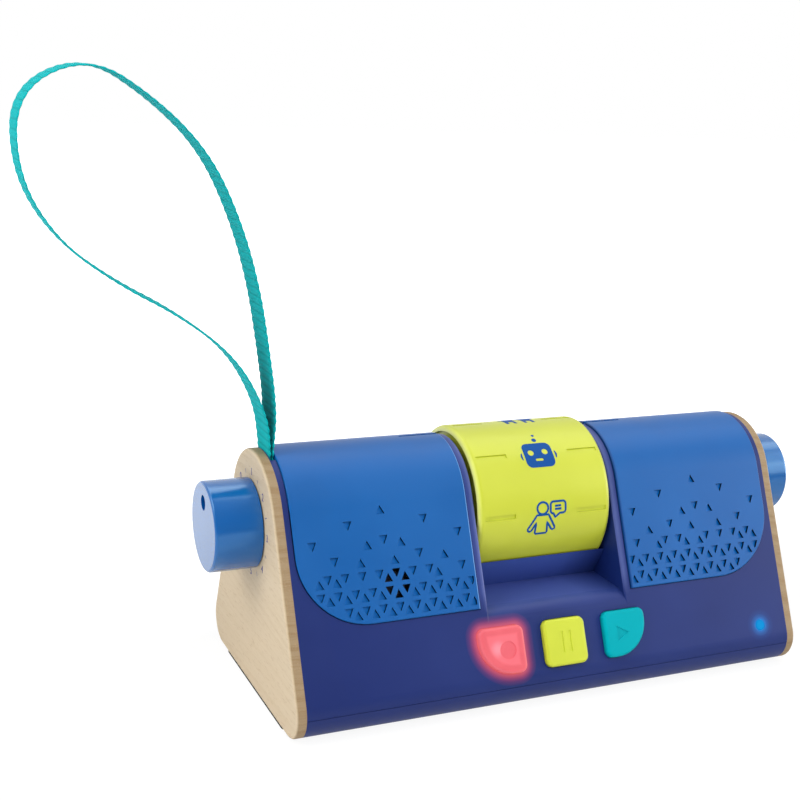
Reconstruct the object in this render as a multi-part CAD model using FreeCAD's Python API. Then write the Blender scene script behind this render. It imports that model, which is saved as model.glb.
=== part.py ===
import FreeCAD, Part
import math
import os
from FreeCAD import Matrix, Placement, Vector

# Audio story player: a moulded body between two wooden ends, a picture drum that turns in the
# middle, a knob at each end, three buttons, a woven carry loop. Millimetres, +Z up, +X to the
# right of someone facing the buttons. The origin is on the table, under the middle of the body.

# ---- body and its side profile: three circles joined by straight tangents ----
body_length = 222.0
body_depth = 112.4
body_height = 99.85
top_radius = 28.5
top_offset = 1.7
front_corner_radius = 11.4
back_corner_radius = 11.1
wall = 3.0
end_wall = 2.4
rib = 1.2
parting_height = 11.8
parting_gap = 0.2
tray_wall = 2.4
tray_floor = 2.2

# ---- wooden ends and the pads under them ----
panel_thickness = 4.0
panel_round = 1.3
foot_height = 0.8
foot_width = 3.0
foot_length = 76.0

# ---- drum, its axle and the channel that it turns in ----
axis_y = 2.55
axis_z = 71.1
drum_radius = 32.7
drum_length = 61.0
drum_wall = 2.4
drum_round = 2.2
drum_stations = 8
drum_first_station = 5.3
groove_width = 1.9
groove_depth = 0.6
groove_inner = 14.2
groove_outer = 28.0
channel_half = 31.67
channel_gap = 0.7
channel_corner = 26.5
channel_round = 8.0
floor_height = 41.0
floor_thickness = 2.4
cheek = 2.4
cheek_foot = 35.4
lip_depth = 8.25
lip_angle = 26.5
trough_thickness = 1.5
rim_round = 0.7
axle_radius = 2.5
bush_radius = 4.5
bush_flange_radius = 6.5
bush_flange = 0.9
end_disc = 2.2
end_disc_inset = 1.4
hub_radius = 6.0
encoder_size = 22.0
encoder_depth = 6.5

# ---- blue covers either side of the drum, and the triangles in them ----
cover_inner = 35.1
cover_from_end = 2.55
cover_low = 27.5
cover_corner = 28.0
cover_thickness = 1.8
cover_proud = 0.8
cover_edge = 0.5
cover_gap = 0.25
peg_radius = 1.5
cluster_x = 68.8
column_step = 3.51
row_step = 6.61
first_row = 29.45
triangle_width = 3.5
triangle_height = 3.45
point_down_lift = 1.4
triangle_depth = 1.1
triangle_margin = 1.3
index_length = 17.4
index_y = 4.1

# ---- knobs and the controls that they turn ----
knob_radius = 18.0
knob_length = 18.8
knob_gap = 0.5
knob_round = 1.2
knob_hollow_radius = 9.0
knob_hollow = 1.5
dimple_radius = 3.05
dimple_offset = 9.9
dimple_depth = 3.0
shaft_radius = 3.0
shaft_flat = 2.4
control_size = 17.0
control_depth = 8.0
collar_radius = 3.5
collar_length = 2.0
nut_flats = 10.0
nut_thickness = 2.0
panel_hole = 8.0

# ---- buttons, in the front face's own frame: x across, s up the slope, h outwards ----
button_low = 0.5
button_high = 19.5
button_proud = 2.6
button_corner = 3.0
button_sweep = 14.5
button_edge = 1.3
pause_width = 19.0
side_width = 19.8
side_centre = 28.4
button_gap = 0.25
button_travel = 1.5
button_flange = 1.2
flange_thickness = 1.0
flange_clear = 0.2
cap_wall = 2.0
stem_radius = 3.0
icon_depth = 0.4
dome_height = 2.0
board_thickness = 1.6

# ---- carry loop: flat woven band, seen from the front, in x and z ----
strap_width = 18.0
strap_thickness = 0.7
slot_clearance = 0.25
strap_route = [(-109.2, 88), (-109.2, 103), (-107, 118), (-109.5, 140), (-114, 165.5),
               (-122, 189.5), (-133, 213), (-150.5, 230.5), (-174, 245), (-198.5, 233),
               (-199, 205), (-186.5, 183), (-166, 167.5), (-144, 155.5), (-123, 139.5),
               (-111.5, 119), (-110, 103), (-110, 88)]
slot_from_end = 1.4
clamp_thickness = 2.2
clamp_height = 9.0

# ---- power light, microphone, loudspeaker, battery ----
light_from_end = 13.6
light_s = 4.2
light_radius = 2.4
mic_s = 41.8
mic_radius = 4.85
mic_depth = 4.6
speaker_s = 52.0
speaker_opening = 16.5
speaker_flange = 20.0
speaker_height = 18.0
cell_radius = 5.25
cell_length = 44.5
cell_spacing = 0.5
cells = 3
box_wall = 1.4
door_thickness = 2.0
door_ledge = 2.0
door_gap = 0.2
door_boss_depth = 6.4

# ---- small screws ----
screw_radius = 1.25
screw_head_radius = 2.8
screw_head = 1.6
pilot_clearance = 0.05
boss_radius = 3.2
boss_from_end = 13.0
boss_from_side = 18.2
small_screw = 1.0
small_head_radius = 2.0
small_head = 1.2
small_boss = 2.4
seat = 0.05

half = body_length / 2
front_centre = (-body_depth / 2 + front_corner_radius, foot_height + front_corner_radius)
back_centre = (body_depth / 2 - back_corner_radius, foot_height + back_corner_radius)
top_centre = (top_offset, foot_height + body_height - top_radius)
cover_outer = half - cover_from_end
light_x = half - light_from_end
cell_pitch = 2 * cell_radius + cell_spacing


# ================= geometry helpers =================

def outward(low, low_radius, high, high_radius, side):
    """Normal of the line that touches both circles, on the given side."""
    dy = high[0] - low[0]
    dz = high[1] - low[1]
    distance = math.hypot(dy, dz)
    along = (low_radius - high_radius) / distance
    across = math.sqrt(1 - along * along)
    dy /= distance
    dz /= distance
    return (along * dy - side * across * dz, along * dz + side * across * dy)


front_normal = outward(front_centre, front_corner_radius, top_centre, top_radius, 1)
back_normal = outward(back_centre, back_corner_radius, top_centre, top_radius, -1)


def frame_at(centre, radius, normal, side):
    """Placement with local x across, y up the slope and z outwards, from the low tangent point."""
    out = Vector(0, normal[0], normal[1])
    across = Vector(side, 0, 0)
    up = out.cross(across)
    foot = Vector(0, centre[0] + radius * normal[0], centre[1] + radius * normal[1])
    return Placement(Matrix(across.x, up.x, out.x, foot.x, across.y, up.y, out.y, foot.y,
                            across.z, up.z, out.z, foot.z, 0, 0, 0, 1))


front_frame = frame_at(front_centre, front_corner_radius, front_normal, 1)
back_frame = frame_at(back_centre, back_corner_radius, back_normal, -1)


def placed(shape, frame):
    """The shape moved from a face's own frame into the body's."""
    moved = shape.copy()
    moved.Placement = frame.multiply(moved.Placement)
    return moved


def box(x0, x1, y0, y1, z0, z1):
    return Part.makeBox(x1 - x0, y1 - y0, z1 - z0, Vector(x0, y0, z0))


def rod_x(radius, x0, x1, y=axis_y, z=axis_z):
    """Cylinder along X, by default on the drum's axis."""
    return Part.makeCylinder(radius, x1 - x0, Vector(x0, y, z), Vector(1, 0, 0))


def post(radius, x, y, z0, z1):
    return Part.makeCylinder(radius, z1 - z0, Vector(x, y, z0))


def profile(x, grow=0.0):
    """The side profile in the plane at x, moved outwards by grow."""
    def spot(centre, radius, normal):
        reach = radius + grow
        return Vector(x, centre[0] + reach * normal[0], centre[1] + reach * normal[1])

    def between(first, second):
        total = (first[0] + second[0], first[1] + second[1])
        length = math.hypot(total[0], total[1])
        return (total[0] / length, total[1] / length)

    down = (0, -1)
    corners = [(front_centre, front_corner_radius, down, front_normal),
               (top_centre, top_radius, front_normal, back_normal),
               (back_centre, back_corner_radius, back_normal, down)]
    edges = []
    last = None
    for centre, radius, start, end in corners:
        first = spot(centre, radius, start)
        if last is not None:
            edges.append(Part.LineSegment(last, first).toShape())
        middle = spot(centre, radius, between(start, end))
        last = spot(centre, radius, end)
        edges.append(Part.Arc(first, middle, last).toShape())
    edges.append(Part.LineSegment(last, edges[0].Vertexes[0].Point).toShape())
    return Part.Face(Part.Wire(edges))


def prism(x0, x1, grow=0.0):
    return profile(x0, grow).extrude(Vector(x1 - x0, 0, 0))


def polygon(points, x0, x1):
    """Prism along X over a list of (y, z) points."""
    corners = [Vector(x0, y, z) for y, z in points]
    return Part.Face(Part.makePolygon(corners + corners[:1])).extrude(Vector(x1 - x0, 0, 0))


def mirrored(shape):
    return shape.mirror(Vector(0, 0, 0), Vector(1, 0, 0))


def sided(shape, side):
    """The shape as drawn for the right, or its mirror image for the left."""
    return shape if side > 0 else mirrored(shape)


def fused(shapes):
    return shapes[0].multiFuse(shapes[1:]).removeSplitter()


def rounded_outline(width, height, radii):
    """Rounded rectangle centred on the origin; radii from the lower left, anticlockwise."""
    corners = [(-width / 2, -height / 2, 1, 0, 0, 1), (width / 2, -height / 2, 0, 1, -1, 0),
               (width / 2, height / 2, -1, 0, 0, -1), (-width / 2, height / 2, 0, -1, 1, 0)]
    edges = []
    last = None
    first = None
    for (x, y, ox, oy, ix, iy), r in zip(corners, radii):
        start = Vector(x + ix * r, y + iy * r, 0)
        end = Vector(x + ox * r, y + oy * r, 0)
        centre = Vector(x + (ox + ix) * r, y + (oy + iy) * r, 0)
        toward = Vector(x, y, 0) - centre
        middle = centre + toward.normalize() * r
        if last is not None:
            edges.append(Part.LineSegment(last, start).toShape())
        else:
            first = start
        edges.append(Part.Arc(start, middle, end).toShape())
        last = end
    edges.append(Part.LineSegment(last, first).toShape())
    return Part.Face(Part.Wire(edges))


def raised(face, x, s, h0, h1, frame=front_frame):
    """A flat outline stood on the slope at (x, s), from height h0 to h1."""
    flat = face.copy()
    flat.translate(Vector(x, s, h0))
    return placed(flat.extrude(Vector(0, 0, h1 - h0)), frame)


def peg(radius, x, s, h0, h1, frame=front_frame):
    return placed(Part.makeCylinder(radius, h1 - h0, Vector(x, s, h0)), frame)


def slab(x0, x1, s0, s1, h0, h1, frame=front_frame):
    return placed(box(x0, x1, s0, s1, h0, h1), frame)


def screw_down(x, s, seat_h, length, frame, radius=small_screw, head=small_head_radius,
               head_height=small_head):
    """Screw driven outwards into a boss behind a face, its head on the inside."""
    shank = peg(radius, x, s, seat_h - seat, seat_h + length, frame)
    cap = peg(head, x, s, seat_h - seat - head_height, seat_h - seat, frame)
    return fused([shank, cap])


# ================= covers =================

def cover_region(grow):
    """Where the right-hand cover's skin may lie, seen square to the front and to the back."""
    inner = cover_inner - grow
    outer = cover_outer + grow
    radius = cover_corner + grow
    centre_x = cover_outer - cover_corner
    centre_s = cover_low + cover_corner
    region = box(inner, outer, -body_depth, body_depth, cover_low, 2 * body_height)
    for frame, side in ((front_frame, 1), (back_frame, -1)):
        low = box(min(side * inner, side * outer) - 1, max(side * inner, side * outer) + 1,
                  -60, cover_low - grow, -40, 10)
        near = side * centre_x
        far = side * (outer + 1)
        square = box(min(near, far), max(near, far), cover_low - grow - 1, centre_s, -40, 10)
        square = square.cut(Part.makeCylinder(radius, 60, Vector(near, centre_s, -45)))
        region = region.cut(placed(low, frame)).cut(placed(square, frame))
    return region


def triangle(x, s, width, height, point_up, h0, h1, frame):
    base = s if point_up else s + height
    tip = s + height if point_up else s
    corners = [Vector(x - width / 2, base, h0), Vector(x + width / 2, base, h0), Vector(x, tip, h0)]
    face = Part.Face(Part.makePolygon(corners + corners[:1]))
    return placed(face.extrude(Vector(0, 0, h1 - h0)), frame)


# columns counted outwards from the cluster's middle: (row, pointing down, pointing up)
pattern = [(0, range(-8, 7, 2), range(-9, 6, 2)),
           (1, range(-9, 10, 2), range(-8, 9, 2)),
           (2, (-8, -4, -2, 2, 4, 6, 8), (-5, -1, 1, 7, 9)),
           (3, (-3, 7), (-6, 0, 4)),
           (4, (-8, 1, 9.3), (-1, 3)),
           (5, (-4, 5), ()),
           (6, (), (1,))]
sound_holes = [(1, -1, False), (1, 1, False), (1, 0, True), (2, 0, False), (2, -1, True), (2, 1, True)]


def pattern_triangle(row, column, point_up, h0, h1, frame, side):
    s = first_row + row * row_step + (0 if point_up else point_down_lift)
    x = side * (cluster_x + column * column_step)
    return triangle(x, s, triangle_width, triangle_height, point_up, h0, h1, frame)


def cover(side):
    """Cover for the right (side 1) or left (side -1), with its pattern of triangles."""
    outer = prism(cover_inner - 1, cover_outer + 1, cover_proud)
    inner = prism(cover_inner - 2, cover_outer + 2, cover_proud - cover_thickness)
    skin = outer.cut(inner).common(cover_region(0))
    rim = [edge for edge in skin.Edges if on_surface(edge, cover_proud) and is_border(edge)]
    skin = skin.makeFillet(cover_edge, rim)
    index = box(cover_inner - 1, cover_inner + index_length, index_y - groove_width / 2,
                index_y + groove_width / 2, 0, 2 * body_height)
    index = index.cut(prism(cover_inner - 2, cover_outer, cover_proud - groove_depth - 0.2))
    skin = skin.cut(index)
    bottom = cover_proud - triangle_depth
    dents = []
    for row, downs, ups in pattern:
        for columns, point_up in ((downs, False), (ups, True)):
            for column in columns:
                if side < 0 and (row, column, point_up) in sound_holes:
                    continue
                dents.append(pattern_triangle(row, column, point_up, bottom, 5, front_frame, 1))
    if side < 0:
        for row, column, point_up in sound_holes:
            dents.append(pattern_triangle(row, column, point_up, -5, 5, front_frame, 1))
    else:
        dents += speaker_triangles()
    tool = Part.makeCompound(dents).common(cover_region(-triangle_margin))
    skin = skin.cut(tool)
    pegs = [peg(peg_radius, x, s, -wall - 2.5, cover_proud - cover_thickness + 0.3, front_frame)
            for x, s in cover_pegs()]
    return sided(fused([skin] + pegs), side)


def cover_pegs():
    """Where the snap pegs stand behind the front half of a cover."""
    return [(cover_inner + 4, cover_low + 3), (cover_outer - 4, cover_low + 38),
            (cover_inner + 4, cover_low + 40), (cover_outer - 32, cover_low + 3)]


def speaker_triangles():
    """Triangles right through the back of the right-hand cover, over the loudspeaker."""
    holes = []
    for row in range(-2, 3):
        for column in range(-4, 5):
            point_up = (row + column) % 2 == 0
            s = speaker_s + row * row_step - triangle_height / 2 + (0 if point_up else point_down_lift) - 0.7
            x = column * column_step
            middle = s + triangle_height / 2 - speaker_s
            if math.hypot(x, middle) < speaker_opening - triangle_width / 2 - 0.5:
                holes.append(triangle(-cluster_x + x, s, triangle_width, triangle_height, point_up,
                                      -5, 5, back_frame))
    return holes


def profile_distance(point):
    """How far a point lies outside the side profile."""
    y, z = point.y, point.z
    gaps = []
    for centre, radius, normal in ((front_centre, front_corner_radius, front_normal),
                                   (back_centre, back_corner_radius, back_normal)):
        gaps.append((y - centre[0]) * normal[0] + (z - centre[1]) * normal[1] - radius)
    if gaps[0] > -0.6 * top_radius and z < top_centre[1] + top_radius * front_normal[1]:
        return gaps[0]
    if z < top_centre[1] + top_radius * back_normal[1]:
        return gaps[1]
    return math.hypot(y - top_centre[0], z - top_centre[1]) - top_radius


def on_surface(edge, grow, tolerance=0.02):
    """Whether an edge lies in the side profile grown outwards by grow."""
    low = edge.ParameterRange[0]
    span = edge.ParameterRange[1] - low
    spots = [edge.valueAt(low + span * share) for share in (0.05, 0.35, 0.65, 0.95)]
    return all(abs(profile_distance(spot) - grow) < tolerance for spot in spots)


def is_border(edge):
    """Whether an edge is on a cover's outline, and not a join between two parts of its skin."""
    middle = edge.valueAt(sum(edge.ParameterRange) / 2)
    across = abs(edge.tangentAt(sum(edge.ParameterRange) / 2).x)
    return across < 0.999 or middle.z < 60


# ================= body shells =================

def outline_point(s, h, normal, centre, radius, side):
    """(y, z) of a place on the front or back slope, s up it and h outwards."""
    along = (-side * normal[1], side * normal[0])
    return (centre[0] + (radius + h) * normal[0] + s * along[0],
            centre[1] + (radius + h) * normal[1] + s * along[1])


def front_point(s, h=0.0):
    return outline_point(s, h, front_normal, front_centre, front_corner_radius, -1)


def crease_point():
    """Foot of the trough's lip, where it meets the channel's floor."""
    y, z = lip_point()
    return (y + lip_depth, floor_height)


def lip_point():
    """Top edge of the trough's lip, just under the drum."""
    reach = drum_radius + channel_gap
    angle = math.radians(lip_angle)
    return (axis_y - reach * math.cos(angle), axis_z - reach * math.sin(angle))


def channel_cut():
    """Everything that is open in front of and around the drum, between the cheeks."""
    turn = math.acos(front_normal[1])
    reach = channel_round * math.tan(turn / 2)
    rise = front_frame.multVec(Vector(0, 1, 0)) - front_frame.multVec(Vector(0, 0, 0))
    corner_s = (floor_height - front_frame.Base.z) / rise.z
    start = front_point(corner_s - reach)
    corner = front_point(corner_s)
    centre = (start[0] - channel_round * front_normal[0], start[1] - channel_round * front_normal[1])
    end = (centre[0], floor_height)
    middle = (centre[0] - channel_round * math.sin(turn / 2), centre[1] + channel_round * math.cos(turn / 2))
    above = front_point(corner_s + 60, 12)
    outside = front_point(corner_s - reach, 12)
    crease = crease_point()
    lip = lip_point()
    inside = (axis_y - drum_radius / 2, axis_z)
    path = [end, crease, lip, inside, above, outside, start]
    vectors = [Vector(-channel_half, y, z) for y, z in path]
    edges = [Part.Arc(vectors[-1], Vector(-channel_half, middle[0], middle[1]), vectors[0]).toShape()]
    for first, second in zip(vectors, vectors[1:]):
        edges.append(Part.LineSegment(first, second).toShape())
    mouth = Part.Face(Part.Wire(edges)).extrude(Vector(2 * channel_half, 0, 0))
    around = rod_x(drum_radius + channel_gap, -channel_half, channel_half)
    return mouth.fuse(around)


boss_x = half - boss_from_end
boss_y = body_depth / 2 - boss_from_side
shell_bosses = [(side * x, y) for side in (-1, 1)
                for x, y in ((boss_x, -boss_y), (boss_x, boss_y), (53, -boss_y), (46, boss_y))]
panel_screw_spots = [(-boss_y - 2, parting_height + 10.2), (boss_y + 2, parting_height + 10.2),
                     (top_offset - 18.7, top_centre[1] + 1.85), (top_offset + 19.3, top_centre[1] + 1.85)]


def shell_interior():
    return prism(-half + end_wall, half - end_wall, -wall)


def button_outline(kind, grow=0.0):
    """Outline of a button's cap, grown by a clearance or a flange."""
    height = button_high - button_low + 2 * grow
    small = button_corner + grow
    sweep = button_sweep + grow
    if kind == 0:
        return rounded_outline(pause_width + 2 * grow, height, [small] * 4)
    radii = [sweep if kind < 0 else small, small if kind < 0 else sweep, small, small]
    return rounded_outline(side_width + 2 * grow, height, radii)


def button_place(kind):
    return kind * side_centre, (button_low + button_high) / 2


def housing_shell():
    """The upper shell, with the channel, the cheeks and every seat that other pieces need."""
    solid = prism(-half, half)
    above = box(-half - 1, half + 1, -body_depth, body_depth, parting_height, 2 * body_height)
    shell = solid.common(above).cut(shell_interior())
    extra = []
    for side in (-1, 1):
        inner = side * channel_half
        outer = side * (channel_half + cheek)
        wall_plate = prism(min(inner, outer), max(inner, outer), -0.2)
        extra.append(wall_plate.common(box(-half, half, -body_depth, body_depth, cheek_foot, 200)))
    crease_y = crease_point()[0]
    plate = box(-channel_half - 0.5, channel_half + 0.5, -body_depth, crease_y,
                floor_height - floor_thickness, floor_height)
    extra.append(plate.common(solid))
    inner_form = prism(-half + 1, half - 1, -1.0)
    for x, y in shell_bosses:
        extra.append(post(boss_radius, x, y, parting_height, 150).common(inner_form))
    extra += front_bosses() + back_bosses()
    shell = fused([shell] + extra)

    cuts = [channel_cut()]
    form = prism(cover_inner - 2, cover_outer + 2, 2).cut(
        prism(cover_inner - 3, cover_outer + 3, cover_proud - cover_thickness - seat))
    pocket = form.common(cover_region(cover_gap))
    holes = [peg(peg_radius + seat, x, s, -wall - 1, 1) for x, s in cover_pegs()]
    for side in (-1, 1):
        cuts += [sided(tool, side) for tool in [pocket] + holes]
        ends = sorted((side * (channel_half - 1.67), side * (channel_half + cheek + 1.93)))
        cuts.append(rod_x(bush_radius + seat, ends[0], ends[1]))
        ends = sorted((side * (half - 11), side * (half + 1)))
        cuts.append(rod_x(collar_radius + 0.1, ends[0], ends[1]))
        for y, z in panel_screw_spots:
            ends = sorted((side * (half - 8), side * (half + 1)))
            cuts.append(rod_x(screw_radius + 0.15, ends[0], ends[1], y, z))
    for kind in (-1, 0, 1):
        x, s = button_place(kind)
        cuts.append(raised(button_outline(kind, button_gap), x, s, -wall - 1, 1))
    cuts.append(peg(light_radius + seat, light_x, light_s, -wall - 1, 1))
    cuts.append(peg(mic_radius + 1.6, -cluster_x, mic_s, -wall - 1, 1))
    cuts.append(peg(speaker_opening, -cluster_x, speaker_s, -wall - 1, 1, back_frame))
    for x, y in shell_bosses:
        cuts.append(post(screw_radius + pilot_clearance, x, y, parting_height - 1, parting_height + 13))
    cuts += front_pilots() + back_pilots()
    cuts.append(strap_slot())
    cuts += battery_cuts()
    shell = shell.cut(Part.makeCompound(cuts))
    rims = [edge for edge in shell.Edges if is_channel_rim(edge)]
    return shell.makeFillet(rim_round, rims)


def is_channel_rim(edge):
    """Edges where the channel's cheeks meet the outer skin, in front, on top and behind."""
    low, high = edge.BoundBox.XMin, edge.BoundBox.XMax
    flat = high - low < 1e-3 and abs(abs(low) - channel_half) < 1e-3
    return flat and edge.Length > 2 and on_surface(edge, 0.0)


def strap_slot():
    """Slot for both ends of the carry loop, open to the inside below the skin."""
    low, high = slot_span()
    reach = strap_width / 2 + 0.3
    outer = box(low, high, top_offset - reach, top_offset + reach, strap_foot() - 1, 200)
    inner = box(low, -half + end_wall + 1, top_offset - reach, top_offset + reach,
                strap_foot() - 1, top_centre[1] + top_radius - wall - 4)
    screws = [rod_x(small_screw + 0.1, -half - 1, -half + 4, y, clamp_centre()) for y in clamp_screw_y()]
    return fused([outer, inner] + screws)


def slot_span():
    """Lowest and highest x of the slot, which takes both legs of the band beside each other."""
    reach = 0.4 + strap_thickness / 2 + slot_clearance
    return -half + slot_from_end - reach, -half + slot_from_end + reach


def strap_foot():
    return strap_route[0][1]


def clamp_centre():
    return strap_foot() + clamp_height / 2 - 2


def clamp_screw_y():
    return (top_offset - 12, top_offset + 12)


button_board_bosses = [(-46, 10), (46, 10)]
mic_bosses = [(-cluster_x - 10, mic_s), (-cluster_x + 10, mic_s)]
light_bosses = [(light_x - 8, light_s + 3)]
button_board_h = -wall - flange_clear - flange_thickness - 0.1 - dome_height
mic_board_h = -wall - mic_depth
light_board_h = -wall - 4.0


def front_bosses():
    bosses = []
    for spots, level in ((button_board_bosses, button_board_h), (mic_bosses, mic_board_h),
                         (light_bosses, light_board_h)):
        bosses += [peg(small_boss, x, s, level, -wall + 0.5) for x, s in spots]
    return bosses


def front_pilots():
    pilots = []
    for spots, level in ((button_board_bosses, button_board_h), (mic_bosses, mic_board_h),
                         (light_bosses, light_board_h)):
        pilots += [peg(small_screw + pilot_clearance, x, s, level - 1, -wall + 0.3) for x, s in spots]
    return pilots


speaker_screw_angles = (30, 150, 270)
speaker_back = -wall - 0.8 - 2.0


def speaker_spots():
    reach = speaker_flange + small_boss + 0.3
    return [(-cluster_x + reach * math.cos(math.radians(a)), speaker_s + reach * math.sin(math.radians(a)))
            for a in speaker_screw_angles]


def back_bosses():
    bosses = [peg(small_boss, x, s, speaker_back, -wall + 0.5, back_frame) for x, s in speaker_spots()]
    bosses.append(peg(small_boss + 0.4, 0, door_screw_s(), -door_boss_depth, -wall + 0.5, back_frame))
    return bosses


def back_pilots():
    pilots = [peg(small_screw + pilot_clearance, x, s, speaker_back - 1, -wall + 0.3, back_frame)
              for x, s in speaker_spots()]
    pilots.append(peg(small_screw + pilot_clearance, 0, door_screw_s(), -door_boss_depth + 0.5, 1,
                      back_frame))
    return pilots


# ================= battery bay, in the back slope's frame =================

def bay():
    """Inside of the battery bay: x half width, lowest and highest s, depth below the skin."""
    return cell_length / 2 + 3.6, 3.0, 3.0 + cells * cell_pitch, 2 * cell_radius + 0.6


def door_size():
    reach, low, high, depth = bay()
    return reach + door_ledge, low - door_ledge, door_screw_s() + small_head_radius + 1.6


def door_screw_s():
    return bay()[2] + box_wall + small_boss + 0.8


def battery_cuts():
    reach, low, high, depth = bay()
    door_reach, door_low, door_high = door_size()
    hole = slab(-reach, reach, low, high, -wall - 1, 1, back_frame)
    seat_cut = slab(-door_reach - door_gap, door_reach + door_gap, door_low - door_gap,
                    door_high + door_gap, -door_thickness - seat, 1, back_frame)
    return [hole, seat_cut]


def battery_box():
    reach, low, high, depth = bay()
    outer = slab(-reach - box_wall, reach + box_wall, low - box_wall, high + box_wall,
                 -wall - depth - box_wall, -wall - seat, back_frame)
    inner = slab(-reach, reach, low, high, -wall - depth, 1, back_frame)
    return outer.cut(inner)


def cell_places():
    low = bay()[1]
    return [low + cell_pitch * (index + 0.5) for index in range(cells)]


def battery_cells():
    """Cylindrical cells lying side by side, each with its positive button, alternating."""
    made = []
    for index, s in enumerate(cell_places()):
        way = 1 if index % 2 == 0 else -1
        h = -wall - cell_radius - 0.3
        body = Part.makeCylinder(cell_radius, cell_length - 1.0, Vector(-way * cell_length / 2, s, h),
                                 Vector(way, 0, 0))
        button = Part.makeCylinder(1.9, 1.5, Vector(way * (cell_length / 2 - 1.5), s, h), Vector(way, 0, 0))
        made.append(placed(body.fuse(button).removeSplitter(), back_frame))
    return Part.makeCompound(made)


def battery_contacts():
    """Sheet metal contacts at both ends of the bay, a plate at each cell's end."""
    reach = bay()[0]
    h = -wall - cell_radius - 0.3
    plates = []
    for s in cell_places():
        for end in (-1, 1):
            near = end * (reach - 0.5)
            far = end * (reach - 0.05)
            plates.append(slab(min(near, far), max(near, far), s - 4, s + 4, h - 3.5, h + 3.5, back_frame))
    return Part.makeCompound(plates)


def battery_springs():
    """Bowed leaf springs between the contact plates and the negative ends."""
    root = bay()[0] - 0.55
    tip = cell_length / 2 + 0.1
    leaf = 0.4
    bow = [(root, -3.2), (tip, -0.7), (tip, 0.7), (root, 3.2), (root, 3.2 - leaf * 1.5),
           (tip + leaf, 0.5), (tip + leaf, -0.5), (root, -3.2 + leaf * 1.5)]
    springs = []
    for index, s in enumerate(cell_places()):
        way = -1 if index % 2 == 0 else 1
        corners = [Vector(way * x, s - 2, h - wall - cell_radius - 0.3) for x, h in bow]
        face = Part.Face(Part.makePolygon(corners + corners[:1]))
        springs.append(placed(face.extrude(Vector(0, 4, 0)), back_frame))
    return Part.makeCompound(springs)


def battery_door():
    reach, low, high = door_size()
    plate = raised(rounded_outline(2 * reach, high - low, [2.5] * 4), 0, (low + high) / 2,
                   -door_thickness, 0, back_frame)
    hole = peg(small_screw + 0.15, 0, door_screw_s(), -door_thickness - 1, 1, back_frame)
    sink = peg(small_head_radius + 0.15, 0, door_screw_s(), -small_head, 1, back_frame)
    grips = [slab(-12, 12, door_high_s - 0.5, door_high_s + 0.5, -0.5, 1, back_frame)
             for door_high_s in (low + 4, low + 6.5, low + 9)]
    return plate.cut(Part.makeCompound([hole, sink] + grips))


def battery_door_screw():
    """Screw that stays in the door, with a cross slot."""
    s = door_screw_s()
    head = peg(small_head_radius, 0, s, -small_head + seat, 0, back_frame)
    shank = peg(small_screw, 0, s, -door_boss_depth + 0.8, -small_head + seat, back_frame)
    cross = [slab(-1.3, 1.3, s - 0.25, s + 0.25, -0.6, 1, back_frame),
             slab(-0.25, 0.25, s - 1.3, s + 1.3, -0.6, 1, back_frame)]
    return fused([head, shank]).cut(Part.makeCompound(cross))


# ================= base =================

board_x = (-44.0, 40.0)
board_y = (-30.0, 22.0)
board_z = 9.0
board_posts = [(x, y) for x in (board_x[0] + 4, board_x[1] - 4) for y in (board_y[0] + 4, board_y[1] - 4)]


def base_tray():
    solid = prism(-half + seat, half - seat)
    below = box(-half, half, -body_depth, body_depth, 0, parting_height - parting_gap)
    hollow = prism(-half + tray_wall, half - tray_wall, -tray_wall)
    hollow = hollow.common(box(-half, half, -body_depth, body_depth, foot_height + tray_floor, 200))
    tray = solid.common(below).cut(hollow)
    posts = [post(boss_radius, x, y, foot_height + 0.5, parting_height - parting_gap)
             for x, y in shell_bosses]
    posts += [post(small_boss, x, y, foot_height + 0.5, board_z) for x, y in board_posts]
    tray = fused([tray] + posts)
    cuts = []
    for x, y in shell_bosses:
        cuts.append(post(screw_radius + 0.2, x, y, 0, parting_height))
        cuts.append(post(screw_head_radius + 0.2, x, y, 0, foot_height + screw_head + 0.4))
    for x, y in board_posts:
        cuts.append(post(small_screw + pilot_clearance, x, y, board_z - 4.5, board_z + 1))
    return tray.cut(Part.makeCompound(cuts))


def base_screws():
    made = []
    for x, y in shell_bosses:
        low = foot_height + screw_head + 0.4 - seat
        head = post(screw_head_radius, x, y, low - screw_head, low)
        shank = post(screw_radius, x, y, low, parting_height + 10)
        cross = [box(x - 1.6, x + 1.6, y - 0.3, y + 0.3, 0, low - screw_head + 0.7),
                 box(x - 0.3, x + 0.3, y - 1.6, y + 1.6, 0, low - screw_head + 0.7)]
        made.append(fused([head, shank]).cut(Part.makeCompound(cross)))
    return Part.makeCompound(made)


def main_board():
    board = box(board_x[0], board_x[1], board_y[0], board_y[1], board_z, board_z + board_thickness)
    holes = [post(small_screw + 0.2, x, y, board_z - 1, board_z + 3) for x, y in board_posts]
    return board.cut(Part.makeCompound(holes))


def main_board_parts():
    """Processor, memory, amplifier, connectors and capacitors on the main board."""
    top = board_z + board_thickness
    made = [box(-14, -1, -14, -1, top, top + 1.4), box(8, 18, -12, -3, top, top + 1.1),
            box(-30, -24, -6, 0, top, top + 1.2), box(22, 34, 6, 14, top, top + 6),
            box(-38, -28, 8, 14, top, top + 6), box(-16, -6, 8, 14, top, top + 6)]
    made += [post(3.2, x, -20, top, top + 9) for x in (-22, -13, 24)]
    return Part.makeCompound(made)


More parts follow.
